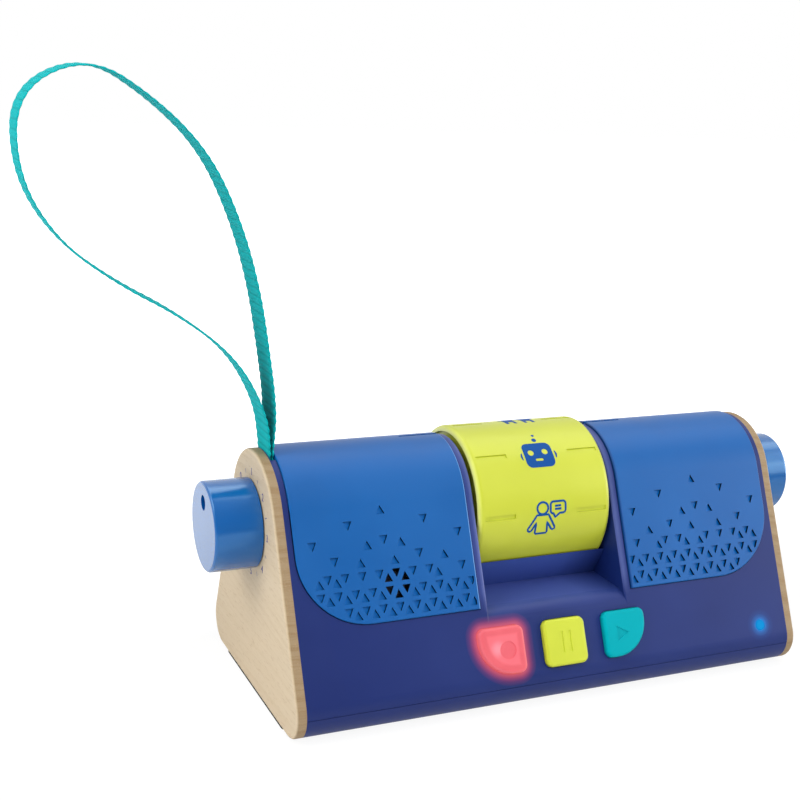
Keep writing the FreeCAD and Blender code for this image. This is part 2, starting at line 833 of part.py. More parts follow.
def board_screws():
    """Small screws of the main board and of the boards behind the front face."""
    made = []
    for x, y in board_posts:
        level = board_z + board_thickness + seat
        head = post(small_head_radius, x, y, level, level + small_head)
        shank = post(small_screw, x, y, level - 5.5, level)
        made.append(fused([head, shank]))
    for spots, level in ((button_board_bosses, button_board_h), (mic_bosses, mic_board_h),
                         (light_bosses, light_board_h)):
        made += [screw_down(x, s, level - board_thickness, 4, front_frame) for x, s in spots]
    return Part.makeCompound(made)


def foot_pads():
    middle = half + panel_thickness / 2
    made = []
    for side in (-1, 1):
        pad = rounded_outline(foot_width, foot_length, [foot_width / 2 - 0.01] * 4)
        pad.translate(Vector(side * middle, 0, 0))
        made.append(pad.extrude(Vector(0, 0, foot_height)))
    return Part.makeCompound(made)


# ================= wooden ends =================

def end_panel(side):
    panel = prism(half, half + panel_thickness)
    outer = [edge for edge in panel.Edges
             if min(v.X for v in edge.Vertexes) > half + panel_thickness - 0.01]
    panel = panel.makeFillet(panel_round, outer)
    cuts = [rod_x(panel_hole, half - 1, half + panel_thickness + 1)]
    for y, z in panel_screw_spots:
        cuts.append(rod_x(screw_radius + pilot_clearance, half - 1, half + 3, y, z))
    if side < 0:
        for y in clamp_screw_y():
            cuts.append(rod_x(small_screw + pilot_clearance, half - 1, half + 3, y, clamp_centre()))
    return sided(panel.cut(Part.makeCompound(cuts)), side)


def panel_screws(side):
    made = []
    for y, z in panel_screw_spots:
        head = rod_x(screw_head_radius, half - end_wall - seat - screw_head, half - end_wall - seat, y, z)
        shank = rod_x(screw_radius, half - end_wall - seat, half + 2.6, y, z)
        made.append(fused([head, shank]))
    return sided(Part.makeCompound(made), side)


# ================= drum =================

def drum_shell():
    tube = rod_x(drum_radius, -drum_length / 2, drum_length / 2)
    rims = [edge for edge in tube.Edges if abs(edge.BoundBox.XMax - edge.BoundBox.XMin) < 1e-3]
    tube = tube.makeFillet(drum_round, rims)
    tube = tube.cut(rod_x(drum_radius - drum_wall, -drum_length, drum_length))
    grooves = []
    for station in range(drum_stations):
        for low, high in ((-groove_outer, -groove_inner), (groove_inner, groove_outer)):
            groove = box(low, high, -groove_width / 2, groove_width / 2,
                         drum_radius - groove_depth, drum_radius + 2)
            turn = -90 + drum_first_station + station * 360 / drum_stations
            groove.rotate(Vector(0, 0, 0), Vector(1, 0, 0), -turn)
            groove.translate(Vector(0, axis_y, axis_z))
            grooves.append(groove)
    return tube.cut(Part.makeCompound(grooves))


def drum_end(side):
    """Disc that closes one end of the drum and carries its hub."""
    outer = drum_length / 2 - end_disc_inset
    disc = rod_x(drum_radius - drum_wall - seat, outer - end_disc, outer)
    hub = rod_x(hub_radius, outer - 9, channel_half - bush_flange - 0.3)
    ribs = []
    for index in range(6):
        web = box(outer - 6, outer - 1, -rib / 2, rib / 2, hub_radius - 1, drum_radius - drum_wall - 1)
        web.rotate(Vector(0, 0, 0), Vector(1, 0, 0), 60 * index)
        web.translate(Vector(0, axis_y, axis_z))
        ribs.append(web)
    whole = fused([disc, hub] + ribs).cut(rod_x(axle_radius + 0.02, 0, half))
    return sided(whole, side)


def drum_axle():
    return rod_x(axle_radius, -channel_half - cheek - 2.0, channel_half + cheek + encoder_depth - 0.4)


def drum_bushes():
    made = []
    for side in (-1, 1):
        sleeve = rod_x(bush_radius, channel_half - 0.2, channel_half + cheek + 0.4)
        flange = rod_x(bush_flange_radius, channel_half - bush_flange, channel_half - seat)
        bush = fused([sleeve, flange]).cut(rod_x(axle_radius + 0.06, 0, half))
        made.append(sided(bush, side))
    return Part.makeCompound(made)


def drum_encoder():
    """Rotary encoder that reads which station of the drum is on top."""
    low = channel_half + cheek + 0.6
    case = box(low, low + encoder_depth, axis_y - encoder_size / 2, axis_y + encoder_size / 2,
               axis_z - encoder_size / 2, axis_z + encoder_size / 2)
    reach = encoder_size / 2 - 3
    pegs = [rod_x(1.2, low - 0.6 + seat, low, axis_y + dy, axis_z + dz)
            for dy in (-reach, reach) for dz in (-reach, reach)]
    return fused([case] + pegs).cut(rod_x(axle_radius + 0.06, 0, low + encoder_depth - 0.6))


def drum_trough():
    """Trough under the drum, with a lip in front that the channel's floor runs up to."""
    inner = drum_radius + channel_gap
    outer = inner + trough_thickness
    reach = channel_half - 0.15
    tube = rod_x(outer, -reach, reach).cut(rod_x(inner, -half, half))
    lip = lip_point()
    foot = crease_point()
    level = floor_height - floor_thickness + 0.1
    wedge = polygon([lip, (foot[0] + seat, foot[1]), (foot[0] + seat, level), (foot[0] + 5, level),
                     (axis_y, axis_z - 5), (lip[0] + 3, lip[1] + 1.2)], -reach, reach)
    wedge = wedge.cut(rod_x(inner, -half, half)).cut(
        polygon([(foot[0] + 5, 0), (axis_y + 40, 0), (axis_y + 40, axis_z), (foot[0] + 5, axis_z)],
                -half, half))
    body = tube.fuse(wedge)
    body = body.cut(box(-half, half, -body_depth, body_depth, lip[1], 200))
    front = polygon([lip, (foot[0] + seat, foot[1]), (foot[0] + seat, 0), (-body_depth, 0),
                     (-body_depth, lip[1])], -half, half)
    body = body.cut(front)
    keep = prism(-half, half, -wall - 0.3)
    return body.common(keep).removeSplitter()


# ================= knobs =================

def knob(side):
    """Wooden-end knob with a round dimple that marks its setting."""
    near = half + panel_thickness + knob_gap
    far = near + knob_length
    body = rod_x(knob_radius, near, far)
    outer = [edge for edge in body.Edges if edge.BoundBox.XMin > far - 0.01]
    body = body.makeFillet(knob_round, outer)
    cuts = [rod_x(knob_hollow_radius, near - 1, near + knob_hollow),
            rod_x(dimple_radius, far - dimple_depth, far + 1, axis_y, axis_z + dimple_offset),
            shaft_form(near, near + 15.2, 0.02)]
    return sided(body.cut(Part.makeCompound(cuts)), side)


def shaft_form(x0, x1, grow):
    """D-shaped end of a control's shaft, or the bore for it."""
    rod = rod_x(shaft_radius + grow, x0, x1)
    return rod.cut(box(x0 - 1, x1 + 1, axis_y - 10, axis_y + 10, axis_z + shaft_flat + grow, axis_z + 10))


def knob_shaft(side):
    near = half + panel_thickness + knob_gap + knob_hollow
    plain = rod_x(shaft_radius, half - end_wall - 4, near)
    return sided(fused([plain, shaft_form(near, near + 13, 0)]), side)


def control_body(side):
    """Rotary control behind an end wall, with the collar that goes through it."""
    face = half - end_wall - seat
    case = box(face - control_depth, face, axis_y - control_size / 2, axis_y + control_size / 2,
               axis_z - control_size / 2, axis_z + control_size / 2)
    collar = rod_x(collar_radius, face - 0.2, half + nut_thickness + 1.0)
    lugs = [box(face - 4 - 0.3, face - 4 + 0.3, axis_y + dy - 0.8, axis_y + dy + 0.8,
                axis_z - control_size / 2 - 5, axis_z - control_size / 2 + 1) for dy in (-5, 0, 5)]
    whole = fused([case, collar] + lugs)
    return sided(whole.cut(rod_x(shaft_radius + 0.06, half - end_wall - 5, half + 20)), side)


def shaft_nuts():
    made = []
    for side in (-1, 1):
        corners = [Vector(half + seat, axis_y + nut_flats / math.sqrt(3) * math.cos(math.radians(60 * k)),
                          axis_z + nut_flats / math.sqrt(3) * math.sin(math.radians(60 * k)))
                   for k in range(6)]
        hexagon = Part.Face(Part.makePolygon(corners + corners[:1])).extrude(Vector(nut_thickness, 0, 0))
        made.append(sided(hexagon.cut(rod_x(collar_radius + 0.03, 0, half + 10)), side))
    return Part.makeCompound(made)


# ================= buttons =================

def button(kind):
    """Hollow cap with a flange behind the face and a stem on its dome."""
    x, s = button_place(kind)
    foot = -wall - flange_clear - flange_thickness
    cap = raised(button_outline(kind), x, s, foot, button_proud)
    top = [edge for edge in cap.Edges if is_cap_top(edge)]
    cap = cap.makeFillet(button_edge, top)
    flange = raised(button_outline(kind, button_flange), x, s, foot, foot + flange_thickness)
    hollow = raised(button_outline(kind, -cap_wall), x, s, foot - 1, button_proud - cap_wall - 0.4)
    icon_x = x - kind * 2.0
    stem = peg(stem_radius, icon_x, s, foot, button_proud - 1)
    cap = fused([cap, flange]).cut(hollow).fuse(stem).removeSplitter()
    return cap.cut(button_icon(kind, icon_x, s))


def is_cap_top(edge):
    local = front_frame.inverse().multVec(edge.valueAt(sum(edge.ParameterRange) / 2))
    flat = abs(edge.tangentAt(sum(edge.ParameterRange) / 2).dot(
        front_frame.Rotation.multVec(Vector(0, 0, 1)))) < 0.01
    return flat and abs(local.z - button_proud) < 0.01


def button_icon(kind, x, s):
    """Sunk record disc, pause bars or play triangle."""
    low = button_proud - icon_depth
    if kind < 0:
        return peg(3.6, x, s, low, 5)
    if kind == 0:
        return Part.makeCompound([slab(x + dx - 0.6, x + dx + 0.6, s - 4.3, s + 4.3, low, 5)
                                  for dx in (-1.8, 1.8)])
    corners = [Vector(x - 2.3, s - 3.2, low), Vector(x + 3.2, s, low), Vector(x - 2.3, s + 3.2, low)]
    face = Part.Face(Part.makePolygon(corners + corners[:1]))
    return placed(face.extrude(Vector(0, 0, 5)), front_frame)


def button_dome(kind):
    """Silicone dome that pushes a button back."""
    x, s = button_place(kind)
    dome = Part.makeCone(4.0, 2.6, dome_height, Vector(x - kind * 2.0, s, button_board_h + 0.02))
    return placed(dome, front_frame)


def button_board():
    level = button_board_h
    board = slab(-49, 49, 0.5, 20.0, level - board_thickness, level - 0.02)
    holes = [peg(small_screw + 0.2, x, s, level - 3, level + 1) for x, s in button_board_bosses]
    return board.cut(Part.makeCompound(holes))


def record_lamps():
    """Two flat red lamps on the button board, under the record button."""
    x = -side_centre
    level = button_board_h
    return Part.makeCompound([slab(x + dx - 1.5, x + dx + 1.5, s - 1, s + 1, level, level + 0.4)
                              for dx, s in ((-6, 15), (5.5, 3.5))])


# ================= light, microphone, loudspeaker =================

def power_light_lens():
    stem = peg(light_radius, light_x, light_s, -wall - 1, 0.15)
    flange = peg(light_radius + 1, light_x, light_s, -wall - 1, -wall - seat)
    lens = fused([stem, flange])
    top = [edge for edge in lens.Edges
           if abs(front_frame.inverse().multVec(edge.CenterOfMass).z - 0.15) < 0.01]
    return lens.makeFillet(0.5, top)


def light_board():
    level = light_board_h
    board = slab(light_x - 11, light_x + 5, 1.0, 10.0, level - board_thickness, level - 0.02)
    return board.cut(peg(small_screw + 0.2, light_bosses[0][0], light_bosses[0][1], level - 3, level + 1))


def power_lamp():
    level = light_board_h
    return fused([peg(1.5, light_x, light_s, level, level + 1.6),
                  slab(light_x - 2, light_x + 2, light_s - 1.6, light_s + 1.6, level, level + 0.6)])


def microphone():
    return peg(mic_radius, -cluster_x, mic_s, mic_board_h + 0.02, -wall - 0.6)


def microphone_boot():
    ring = peg(mic_radius + 2.0, -cluster_x, mic_s, mic_board_h + 0.5, -wall - seat)
    return ring.cut(peg(mic_radius + seat, -cluster_x, mic_s, mic_board_h - 1, 1))


def microphone_board():
    level = mic_board_h
    board = slab(-cluster_x - 13, -cluster_x + 13, mic_s - 8, mic_s + 8, level - board_thickness, level - 0.02)
    holes = [peg(small_screw + 0.2, x, s, level - 3, level + 1) for x, s in mic_bosses]
    return board.cut(Part.makeCompound(holes))


def speaker_gasket():
    ring = peg(speaker_flange - 0.3, -cluster_x, speaker_s, -wall - 0.75, -wall - seat, back_frame)
    return ring.cut(peg(speaker_opening, -cluster_x, speaker_s, -wall - 2, 0, back_frame))


def loudspeaker():
    """Speaker frame with its basket and magnet."""
    x, s = -cluster_x, speaker_s
    flange = peg(speaker_flange, x, s, speaker_back, -wall - 0.8, back_frame)
    depth = speaker_back - 9
    basket = placed(Part.makeCone(11, speaker_opening + 1.5, 9, Vector(x, s, depth)), back_frame)
    magnet = peg(12, x, s, depth - 7, depth, back_frame)
    inner = placed(Part.makeCone(9.0, speaker_opening, 9, Vector(x, s, depth + 1)), back_frame)
    mouth = peg(speaker_opening, x, s, speaker_back + 0.5, 0, back_frame)
    return fused([flange, basket, magnet]).cut(inner).cut(mouth)


def speaker_cone():
    """Paper cone with its dust cap."""
    x, s = -cluster_x, speaker_s
    low = speaker_back - 6
    outer = Part.makeCone(5.0, speaker_opening - 0.4, 7, Vector(x, s, low))
    inner = Part.makeCone(4.4, speaker_opening - 1.0, 7.01, Vector(x, s, low + 0.5))
    cone = placed(outer.cut(inner), back_frame)
    coil = peg(4.6, x, s, speaker_back - 7.9, low + 0.8, back_frame)
    return cone.fuse(coil).removeSplitter()


def speaker_screws():
    made = []
    for x, s in speaker_spots():
        shank = peg(small_screw, x, s, speaker_back - seat, speaker_back + 2.8, back_frame)
        head = peg(small_boss + 0.9, x, s, speaker_back - seat - small_head, speaker_back - seat, back_frame)
        made.append(fused([shank, head]))
    return Part.makeCompound(made)


# ================= carry loop =================

def rounded_path(points, offset):
    """Edges along the points, with tangent arcs at the corners, moved sideways by offset."""
    def shifted(point, direction):
        return Vector(point.x - direction.z * offset, 0, point.z + direction.x * offset)

    spots = [Vector(x, 0, z) for x, z in points]
    edges = []
    last = shifted(spots[0], (spots[1] - spots[0]).normalize())
    for before, corner, after in zip(spots, spots[1:], spots[2:]):
        first = (corner - before).normalize()
        second = (after - corner).normalize()
        turn = first.getAngle(second)
        reach = 0.45 * min((corner - before).Length, (after - corner).Length)
        bend = Vector(0, 0, 0) + second - first
        if turn < 1e-4:
            continue
        radius = reach / math.tan(turn / 2)
        bend = bend.normalize()
        centre = corner + bend * (radius / math.cos(turn / 2))
        start = shifted(corner - first * reach, first)
        middle_line = (first + second).normalize()
        middle = shifted(centre - bend * radius, middle_line)
        end = shifted(corner + second * reach, second)
        edges.append(Part.LineSegment(last, start).toShape())
        edges.append(Part.Arc(start, middle, end).toShape())
        last = end
        if offset == 0:
            print("strap bend radius %.1f" % radius)
    finish = shifted(spots[-1], (spots[-1] - spots[-2]).normalize())
    edges.append(Part.LineSegment(last, finish).toShape())
    return edges


def carry_loop():
    """Plain flat band along the route, as wide as the weave."""
    centre_line = Part.Wire(rounded_path(strap_route, 0))
    print("strap length %.1f" % centre_line.Length)
    left = rounded_path(strap_route, strap_thickness / 2)
    right = rounded_path(strap_route, -strap_thickness / 2)
    starts = Part.LineSegment(right[0].Vertexes[0].Point, left[0].Vertexes[0].Point).toShape()
    ends = Part.LineSegment(left[-1].Vertexes[-1].Point, right[-1].Vertexes[-1].Point).toShape()
    outline = Part.Wire(Part.__sortEdges__([starts] + left + [ends] + right))
    band = Part.Face(outline).extrude(Vector(0, strap_width, 0))
    band.translate(Vector(0, top_offset - strap_width / 2, 0))
    return band


def strap_clamp():
    """Plate that presses both ends of the carry loop against the end wall."""
    low = -half + end_wall + seat
    plate = box(low, low + clamp_thickness, top_offset - 15, top_offset + 15,
                clamp_centre() - clamp_height / 2, clamp_centre() + clamp_height / 2)
    plate = plate.common(prism(-half, half, -wall - 0.2))
    holes = [rod_x(small_screw + 0.1, -half, 0, y, clamp_centre()) for y in clamp_screw_y()]
    return plate.cut(Part.makeCompound(holes))


def strap_screws():
    made = []
    low = -half + end_wall + clamp_thickness + 2 * seat
    for y in clamp_screw_y():
        head = rod_x(small_head_radius, low, low + small_head, y, clamp_centre())
        shank = rod_x(small_screw, -half - 2.6, low, y, clamp_centre())
        made.append(fused([head, shank]))
    return Part.makeCompound(made)


# ================= the assembly =================

parts = {
    "housing_shell": housing_shell(),
    "base_tray": base_tray(),
    "base_screws": base_screws(),
    "end_panel_left": end_panel(-1),
    "end_panel_right": end_panel(1),
    "panel_screws_left": panel_screws(-1),
    "panel_screws_right": panel_screws(1),
    "foot_pads": foot_pads(),
    "cover_left": cover(-1),
    "cover_right": cover(1),
    "drum_shell": drum_shell(),
    "drum_end_left": drum_end(-1),
    "drum_end_right": drum_end(1),
    "drum_axle": drum_axle(),
    "drum_bushes": drum_bushes(),
    "drum_encoder": drum_encoder(),
    "drum_trough": drum_trough(),
    "knob_left": knob(-1),
    "knob_right": knob(1),
    "knob_shaft_left": knob_shaft(-1),
    "knob_shaft_right": knob_shaft(1),
    "number_switch": control_body(-1),
    "volume_control": control_body(1),
    "shaft_nuts": shaft_nuts(),
    "record_button": button(-1),
    "pause_button": button(0),
    "play_button": button(1),
    "record_dome": button_dome(-1),
    "pause_dome": button_dome(0),
    "play_dome": button_dome(1),
    "button_board": button_board(),
    "record_lamps": record_lamps(),
    "power_light_lens": power_light_lens(),
    "light_board": light_board(),
    "power_lamp": power_lamp(),
    "microphone": microphone(),
    "microphone_boot": microphone_boot(),
    "microphone_board": microphone_board(),
    "loudspeaker": loudspeaker(),
    "speaker_cone": speaker_cone(),
    "speaker_gasket": speaker_gasket(),
    "speaker_screws": speaker_screws(),
    "main_board": main_board(),
    "main_board_parts": main_board_parts(),
    "board_screws": board_screws(),
    "battery_box": battery_box(),
    "battery_cells": battery_cells(),
    "battery_contacts": battery_contacts(),
    "battery_springs": battery_springs(),
    "battery_door": battery_door(),
    "battery_door_screw": battery_door_screw(),
    "carry_loop": carry_loop(),
    "strap_clamp": strap_clamp(),
    "strap_screws": strap_screws(),
}

os.makedirs("parts", exist_ok=True)
for name, shape in parts.items():
    print("%-20s solids %d valid %s volume %.0f" % (name, len(shape.Solids), shape.isValid(), shape.Volume))
    shape.exportStep("parts/" + name + ".step")
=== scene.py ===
import bpy
import math
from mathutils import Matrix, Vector


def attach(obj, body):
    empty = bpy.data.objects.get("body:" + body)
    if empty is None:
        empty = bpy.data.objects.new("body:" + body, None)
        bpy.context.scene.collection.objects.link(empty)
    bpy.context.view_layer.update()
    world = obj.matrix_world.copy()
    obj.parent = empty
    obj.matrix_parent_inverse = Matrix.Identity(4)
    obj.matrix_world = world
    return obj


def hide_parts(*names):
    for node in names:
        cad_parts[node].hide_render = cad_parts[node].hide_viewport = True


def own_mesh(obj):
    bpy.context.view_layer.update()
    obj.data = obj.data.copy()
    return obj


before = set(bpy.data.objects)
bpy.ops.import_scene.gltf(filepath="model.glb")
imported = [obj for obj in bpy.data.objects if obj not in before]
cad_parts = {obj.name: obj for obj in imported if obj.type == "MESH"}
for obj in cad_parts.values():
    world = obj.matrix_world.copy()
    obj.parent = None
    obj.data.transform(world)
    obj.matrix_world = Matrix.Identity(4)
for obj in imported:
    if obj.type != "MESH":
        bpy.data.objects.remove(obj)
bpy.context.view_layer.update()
scene = bpy.context.scene
scene.view_settings.view_transform = "Standard"
mm = 0.001
print("frame loaded:", len(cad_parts), "nodes")

# camera: eye height of someone standing at a table, a little to the left of the toy
cameraSettings = {"place": (-0.26211, -0.48151, 0.2493), "turn": (72.951, -2.809, -24.902),
    "lens": 60.44, "shiftX": -0.0644, "shiftY": 0.0893}

bpy.ops.object.camera_add(location=cameraSettings["place"],
    rotation=[math.radians(a) for a in cameraSettings["turn"]])
camera = bpy.context.object
camera.name = "tableTopCamera"
camera.data.sensor_width = 36
camera.data.lens = cameraSettings["lens"]
camera.data.shift_x = cameraSettings["shiftX"]
camera.data.shift_y = cameraSettings["shiftY"]
scene.camera = camera


def toLinear(hexText):
    values = []
    for start in (0, 2, 4):
        c = int(hexText[start:start + 2], 16) / 255
        values.append(c / 12.92 if c <= 0.04045 else ((c + 0.055) / 1.055) ** 2.4)
    return values + [1.0]


def addNode(material, kind, settings=None):
    # kind may be followed by an operation; a setting is a value, a hex colour, a ramp's stops, or the
    # node or socket that it is linked from
    kind, _, operation = kind.partition(" ")
    node = material.node_tree.nodes.new("ShaderNode" + kind)
    if operation:
        setattr(node, "data_type" if kind == "Mix" else "operation", operation)
    for name, value in (settings or {}).items():
        if isinstance(value, bpy.types.Node):
            value = next(output for output in value.outputs if output.enabled)
        if isinstance(value, bpy.types.NodeSocket):
            material.node_tree.links.new(value, node.inputs[name])
        elif name == "stops":
            setRamp(node.color_ramp, value)
        elif isinstance(name, int) or name in node.inputs:
            node.inputs[name].default_value = toLinear(value) if isinstance(value, str) else value
        else:
            setattr(node, name, value)
    return node


def setRamp(ramp, stops):
    while len(ramp.elements) < len(stops):
        ramp.elements.new(0.5)
    for element, (place, color) in zip(ramp.elements, stops):
        element.position = place
        element.color = toLinear(color)


def newMaterial(name):
    material = bpy.data.materials.new(name)
    material.use_nodes = True
    material.node_tree.nodes.clear()
    return material, addNode(material, "TexCoord").outputs["Object"]


def finishMaterial(material, settings, relief=None, kind="BsdfPrincipled"):
    # relief is what makes the bumps, how strong they look and how far they stand out
    if relief:
        settings["Normal"] = addNode(material, "Bump",
            dict(zip(("Height", "Strength", "Distance"), relief)))
    addNode(material, "OutputMaterial", {"Surface": addNode(material, kind, settings)})
    return material


def toneNoise(material, point, size, detail, stops):
    # noise of a size in millimetres, and the tones that it runs through
    noise = addNode(material, "TexNoise", {"Vector": point, "Scale": 1000 / size, "Detail": detail})
    return noise, addNode(material, "ValToRGB", {"Fac": noise, "stops": stops})


def stretchedNoise(material, point, sizes, detail):
    # noise with its own size in millimetres along x, y and z: fibres, flecks, turning marks
    drawn = addNode(material, "Mapping", {"Vector": point, "Scale": [1000 / size for size in sizes]})
    return addNode(material, "TexNoise", {"Vector": drawn, "Scale": 1.0, "Detail": detail})


def makeActive(piece):
    bpy.ops.object.select_all(action="DESELECT")
    piece.select_set(True)
    bpy.context.view_layer.objects.active = piece


# carry loop: flat ribbed webbing with both ends clamped upright in one slot
strap = {"width": 18 * mm, "thickness": 0.55 * mm, "rib": 3.3 * mm, "ribHeight": 0.16 * mm,
    "notch": 0.6 * mm, "middleY": 1.7 * mm, "stepsPerRib": 8, "pinch": 0.2, "pinchLength": 24 * mm,
    "edgeFrom": 0.8, "edgeThin": 0.55, "columns": [-1, -0.93, -0.8, -0.5, 0, 0.5, 0.8, 0.93, 1]}
strapRoute = [(-109.2, 88), (-109.2, 103), (-108, 118), (-110.9, 140), (-115, 165.5), (-122, 189.5),
    (-133, 213), (-150.5, 230.5), (-174, 245), (-198.5, 233), (-199, 205), (-186.5, 183), (-166, 167.5),
    (-144, 155.5), (-123.6, 139.5), (-112.4, 119), (-110, 103), (-110, 88)]


def strapLine():
    curve = bpy.data.curves.new("strapLine", "CURVE")
    curve.dimensions = "3D"
    curve.resolution_u = 40
    spline = curve.splines.new("NURBS")
    spline.points.add(len(strapRoute) - 1)
    for point, (x, z) in zip(spline.points, strapRoute):
        point.co = (x * mm, strap["middleY"], z * mm, 1)
    spline.order_u = 3
    spline.use_endpoint_u = True
    holder = bpy.data.objects.new("strapLine", curve)
    scene.collection.objects.link(holder)
    bpy.context.view_layer.update()
    flat = bpy.data.meshes.new_from_object(holder)
    points = [v.co.copy() for v in flat.vertices]
    bpy.data.objects.remove(holder)
    return points


def evenPoints(points, step):
    lengths = [0.0]
    for a, b in zip(points, points[1:]):
        lengths.append(lengths[-1] + (b - a).length)
    count = round(lengths[-1] / step)
    made = []
    index = 0
    for k in range(count + 1):
        goal = lengths[-1] * k / count
        while index < len(points) - 2 and lengths[index + 1] < goal:
            index += 1
        share = (goal - lengths[index]) / max(lengths[index + 1] - lengths[index], 1e-12)
        made.append(points[index].lerp(points[index + 1], min(max(share, 0), 1)))
    return made, lengths[-1]


def makeStrap():
    path, length = evenPoints(strapLine(), strap["rib"] / strap["stepsPerRib"])
    columns = strap["columns"]
    vertices = []
    uvs = []
    step = length / (len(path) - 1)
    for k, point in enumerate(path):
        before = path[max(k - 1, 0)]
        after = path[min(k + 1, len(path) - 1)]
        along = (after - before).normalized()
        out = Vector((-along.z, 0, along.x))
        wave = math.cos(2 * math.pi * k / strap["stepsPerRib"])
        toEnd = min(k, len(path) - 1 - k) * step / strap["pinchLength"]
        drawnIn = 1 - strap["pinch"] * (0.5 + 0.5 * math.cos(math.pi * min(toEnd, 1)))
        half = strap["width"] / 2 * drawnIn - strap["notch"] * (0.5 - 0.5 * wave)
        for face in (1, -1):
            for c in (columns if face > 0 else reversed(columns)):
                past = max(abs(c) - strap["edgeFrom"], 0) / (1 - strap["edgeFrom"])
                selvedge = 1 - strap["edgeThin"] * past
                height = (strap["thickness"] / 2 + strap["ribHeight"] * (0.5 + 0.5 * wave)) * selvedge
                vertices.append(point + out * face * height + Vector((0, c * half, 0)))
                uvs.append((k / strap["stepsPerRib"], c))
    ring = 2 * len(columns)
    quads = [list(range(ring)), [len(vertices) - 1 - i for i in range(ring)]]
    for k in range(len(path) - 1):
        for i in range(ring):
            j = (i + 1) % ring
            quads.append([k * ring + j, k * ring + i, (k + 1) * ring + i, (k + 1) * ring + j])
    mesh = bpy.data.meshes.new("carryWebbing")
    mesh.from_pydata(vertices, [], quads)
    layer = mesh.uv_layers.new(name="weave")
    for loop in mesh.loops:
        layer.data[loop.index].uv = uvs[loop.vertex_index]
    piece = bpy.data.objects.new("carryWebbing", mesh)
    scene.collection.objects.link(piece)
    makeActive(piece)
    bpy.ops.object.mode_set(mode="EDIT")
    bpy.ops.mesh.select_all(action="SELECT")
    bpy.ops.mesh.normals_make_consistent(inside=False)
    bpy.ops.object.mode_set(mode="OBJECT")
    bpy.ops.object.shade_smooth()
    return piece, path, length


carryWebbing, strapPath, strapLength = makeStrap()
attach(carryWebbing, "case")
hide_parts("carry_loop")
print("carry loop made, length %.4f m" % strapLength)

# woven polyester webbing: fat ribs across the width, thin warp threads lying over them, tight selvedges
webbing = {"color": "06B1B4", "deep": "028E8D", "light": "12C0C4", "roughness": 0.75, "threads": 36,
    "ribShade": 0.45, "meanTone": 0.52, "threadTone": 0.25, "fibreTone": 0.2, "fibre": 0.556,
    "edgeFrom": 0.84, "edgeTo": 0.9, "edgeTone": 0.72}


def wovenPolyester():
    material, point = newMaterial("wovenPolyesterWebbing")
    weave = addNode(material, "SeparateXYZ", {"Vector": addNode(material, "UVMap", {"uv_map": "weave"})})
    # one rib per unit along, darker where the warp dives between two ribs: painted shade in that groove
    rib = addNode(material, "Math PINGPONG", {0: weave.outputs["X"], 1: 0.5})
    grooveShade = addNode(material, "MapRange", {"Value": rib, "From Min": 0.5, "From Max": 0.3,
        "To Min": webbing["ribShade"]})
    # warp threads, 0.5 mm apart across an 18 mm band
    turn = addNode(material, "Math MULTIPLY", {0: weave.outputs["Y"], 1: math.pi * webbing["threads"]})
    warp = addNode(material, "Math SINE", {0: turn})
    warpHeight = addNode(material, "MapRange", {"Value": warp, "From Min": -1.0})
    threadTone = addNode(material, "Math MULTIPLY_ADD",
        {0: warpHeight, 1: webbing["threadTone"], 2: webbing["meanTone"]})
    fibre = addNode(material, "TexNoise", {"Vector": point, "Scale": 1000 / webbing["fibre"]})
    fibreTone = addNode(material, "Math MULTIPLY_ADD", {0: fibre, 1: webbing["fibreTone"], 2: threadTone})
    edge = addNode(material, "Math ABSOLUTE", {0: weave.outputs["Y"]})
    selvedge = addNode(material, "MapRange", {"Value": edge, "From Min": webbing["edgeFrom"],
        "From Max": webbing["edgeTo"], "To Min": 1.0, "To Max": webbing["edgeTone"]})
    tone = fibreTone
    for shade in (grooveShade, selvedge):
        tone = addNode(material, "Math MULTIPLY", {0: tone, 1: shade})
    ramp = addNode(material, "ValToRGB", {"Fac": tone,
        "stops": [(0.0, webbing["deep"]), (0.55, webbing["color"]), (1.0, webbing["light"])]})
    return finishMaterial(material, {"Base Color": ramp, "IOR": 1.5, "Roughness": webbing["roughness"],
        "Specular IOR Level": 0.03, "Sheen Weight": 0.04, "Sheen Roughness": 0.5},
        (fibreTone, 0.08, 0.1 * mm))


carryWebbing.data.materials.append(wovenPolyester())

# injection moulded plastics: an even satin skin from a spark-eroded mould, whose fine grain only
# softens the highlights. The grain is drawn about three times its real 0.1 mm, or it wouldn't show
plastics = {
    "mouldedIndigoAbs": {"color": "192D6F", "deep": "162969", "roughness": 0.42, "shine": 0.25},
    "mouldedBlueAbs": {"color": "0A5DA6", "deep": "0859A1", "roughness": 0.38, "shine": 0.24},
    "mouldedLimeAbs": {"color": "CAD23A", "deep": "C5CD36", "roughness": 0.34, "shine": 0.42},
    "mouldedLimeKeyAbs": {"color": "CED83C", "deep": "C9D338", "roughness": 0.42, "grain": 0.3},
    "mouldedTealKeyAbs": {"color": "00AAB6", "deep": "00A5AF", "roughness": 0.42, "grain": 0.3,
        "shine": 0.05},
    "mouldedBlackAbs": {"color": "1B1C20", "deep": "141519", "roughness": 0.5, "grain": 0.3},
    "mouldedWhiteAcetal": {"color": "E6E3DA", "deep": "DCD8CE", "roughness": 0.35, "grain": 0.3},
    "mouldedNitrileRubber": {"color": "26272B", "deep": "1D1E21", "roughness": 0.78, "grain": 0.5},
    "mouldedSilicone": {"color": "D9D6CF", "deep": "CFCBC2", "roughness": 0.55, "grain": 0.4},
    "mouldedEpoxyPackage": {"color": "1E1F22", "deep": "151618", "roughness": 0.6, "grain": 0.25},
    "pressedPaperCone": {"color": "302E2C", "deep": "252322", "roughness": 0.9, "grain": 0.9},
}
plasticSkin = {"grain": 0.35, "mottle": 35.7, "shine": 0.3, "bump": 0.12, "relief": 0.06 * mm,
    "satin": 0.04}


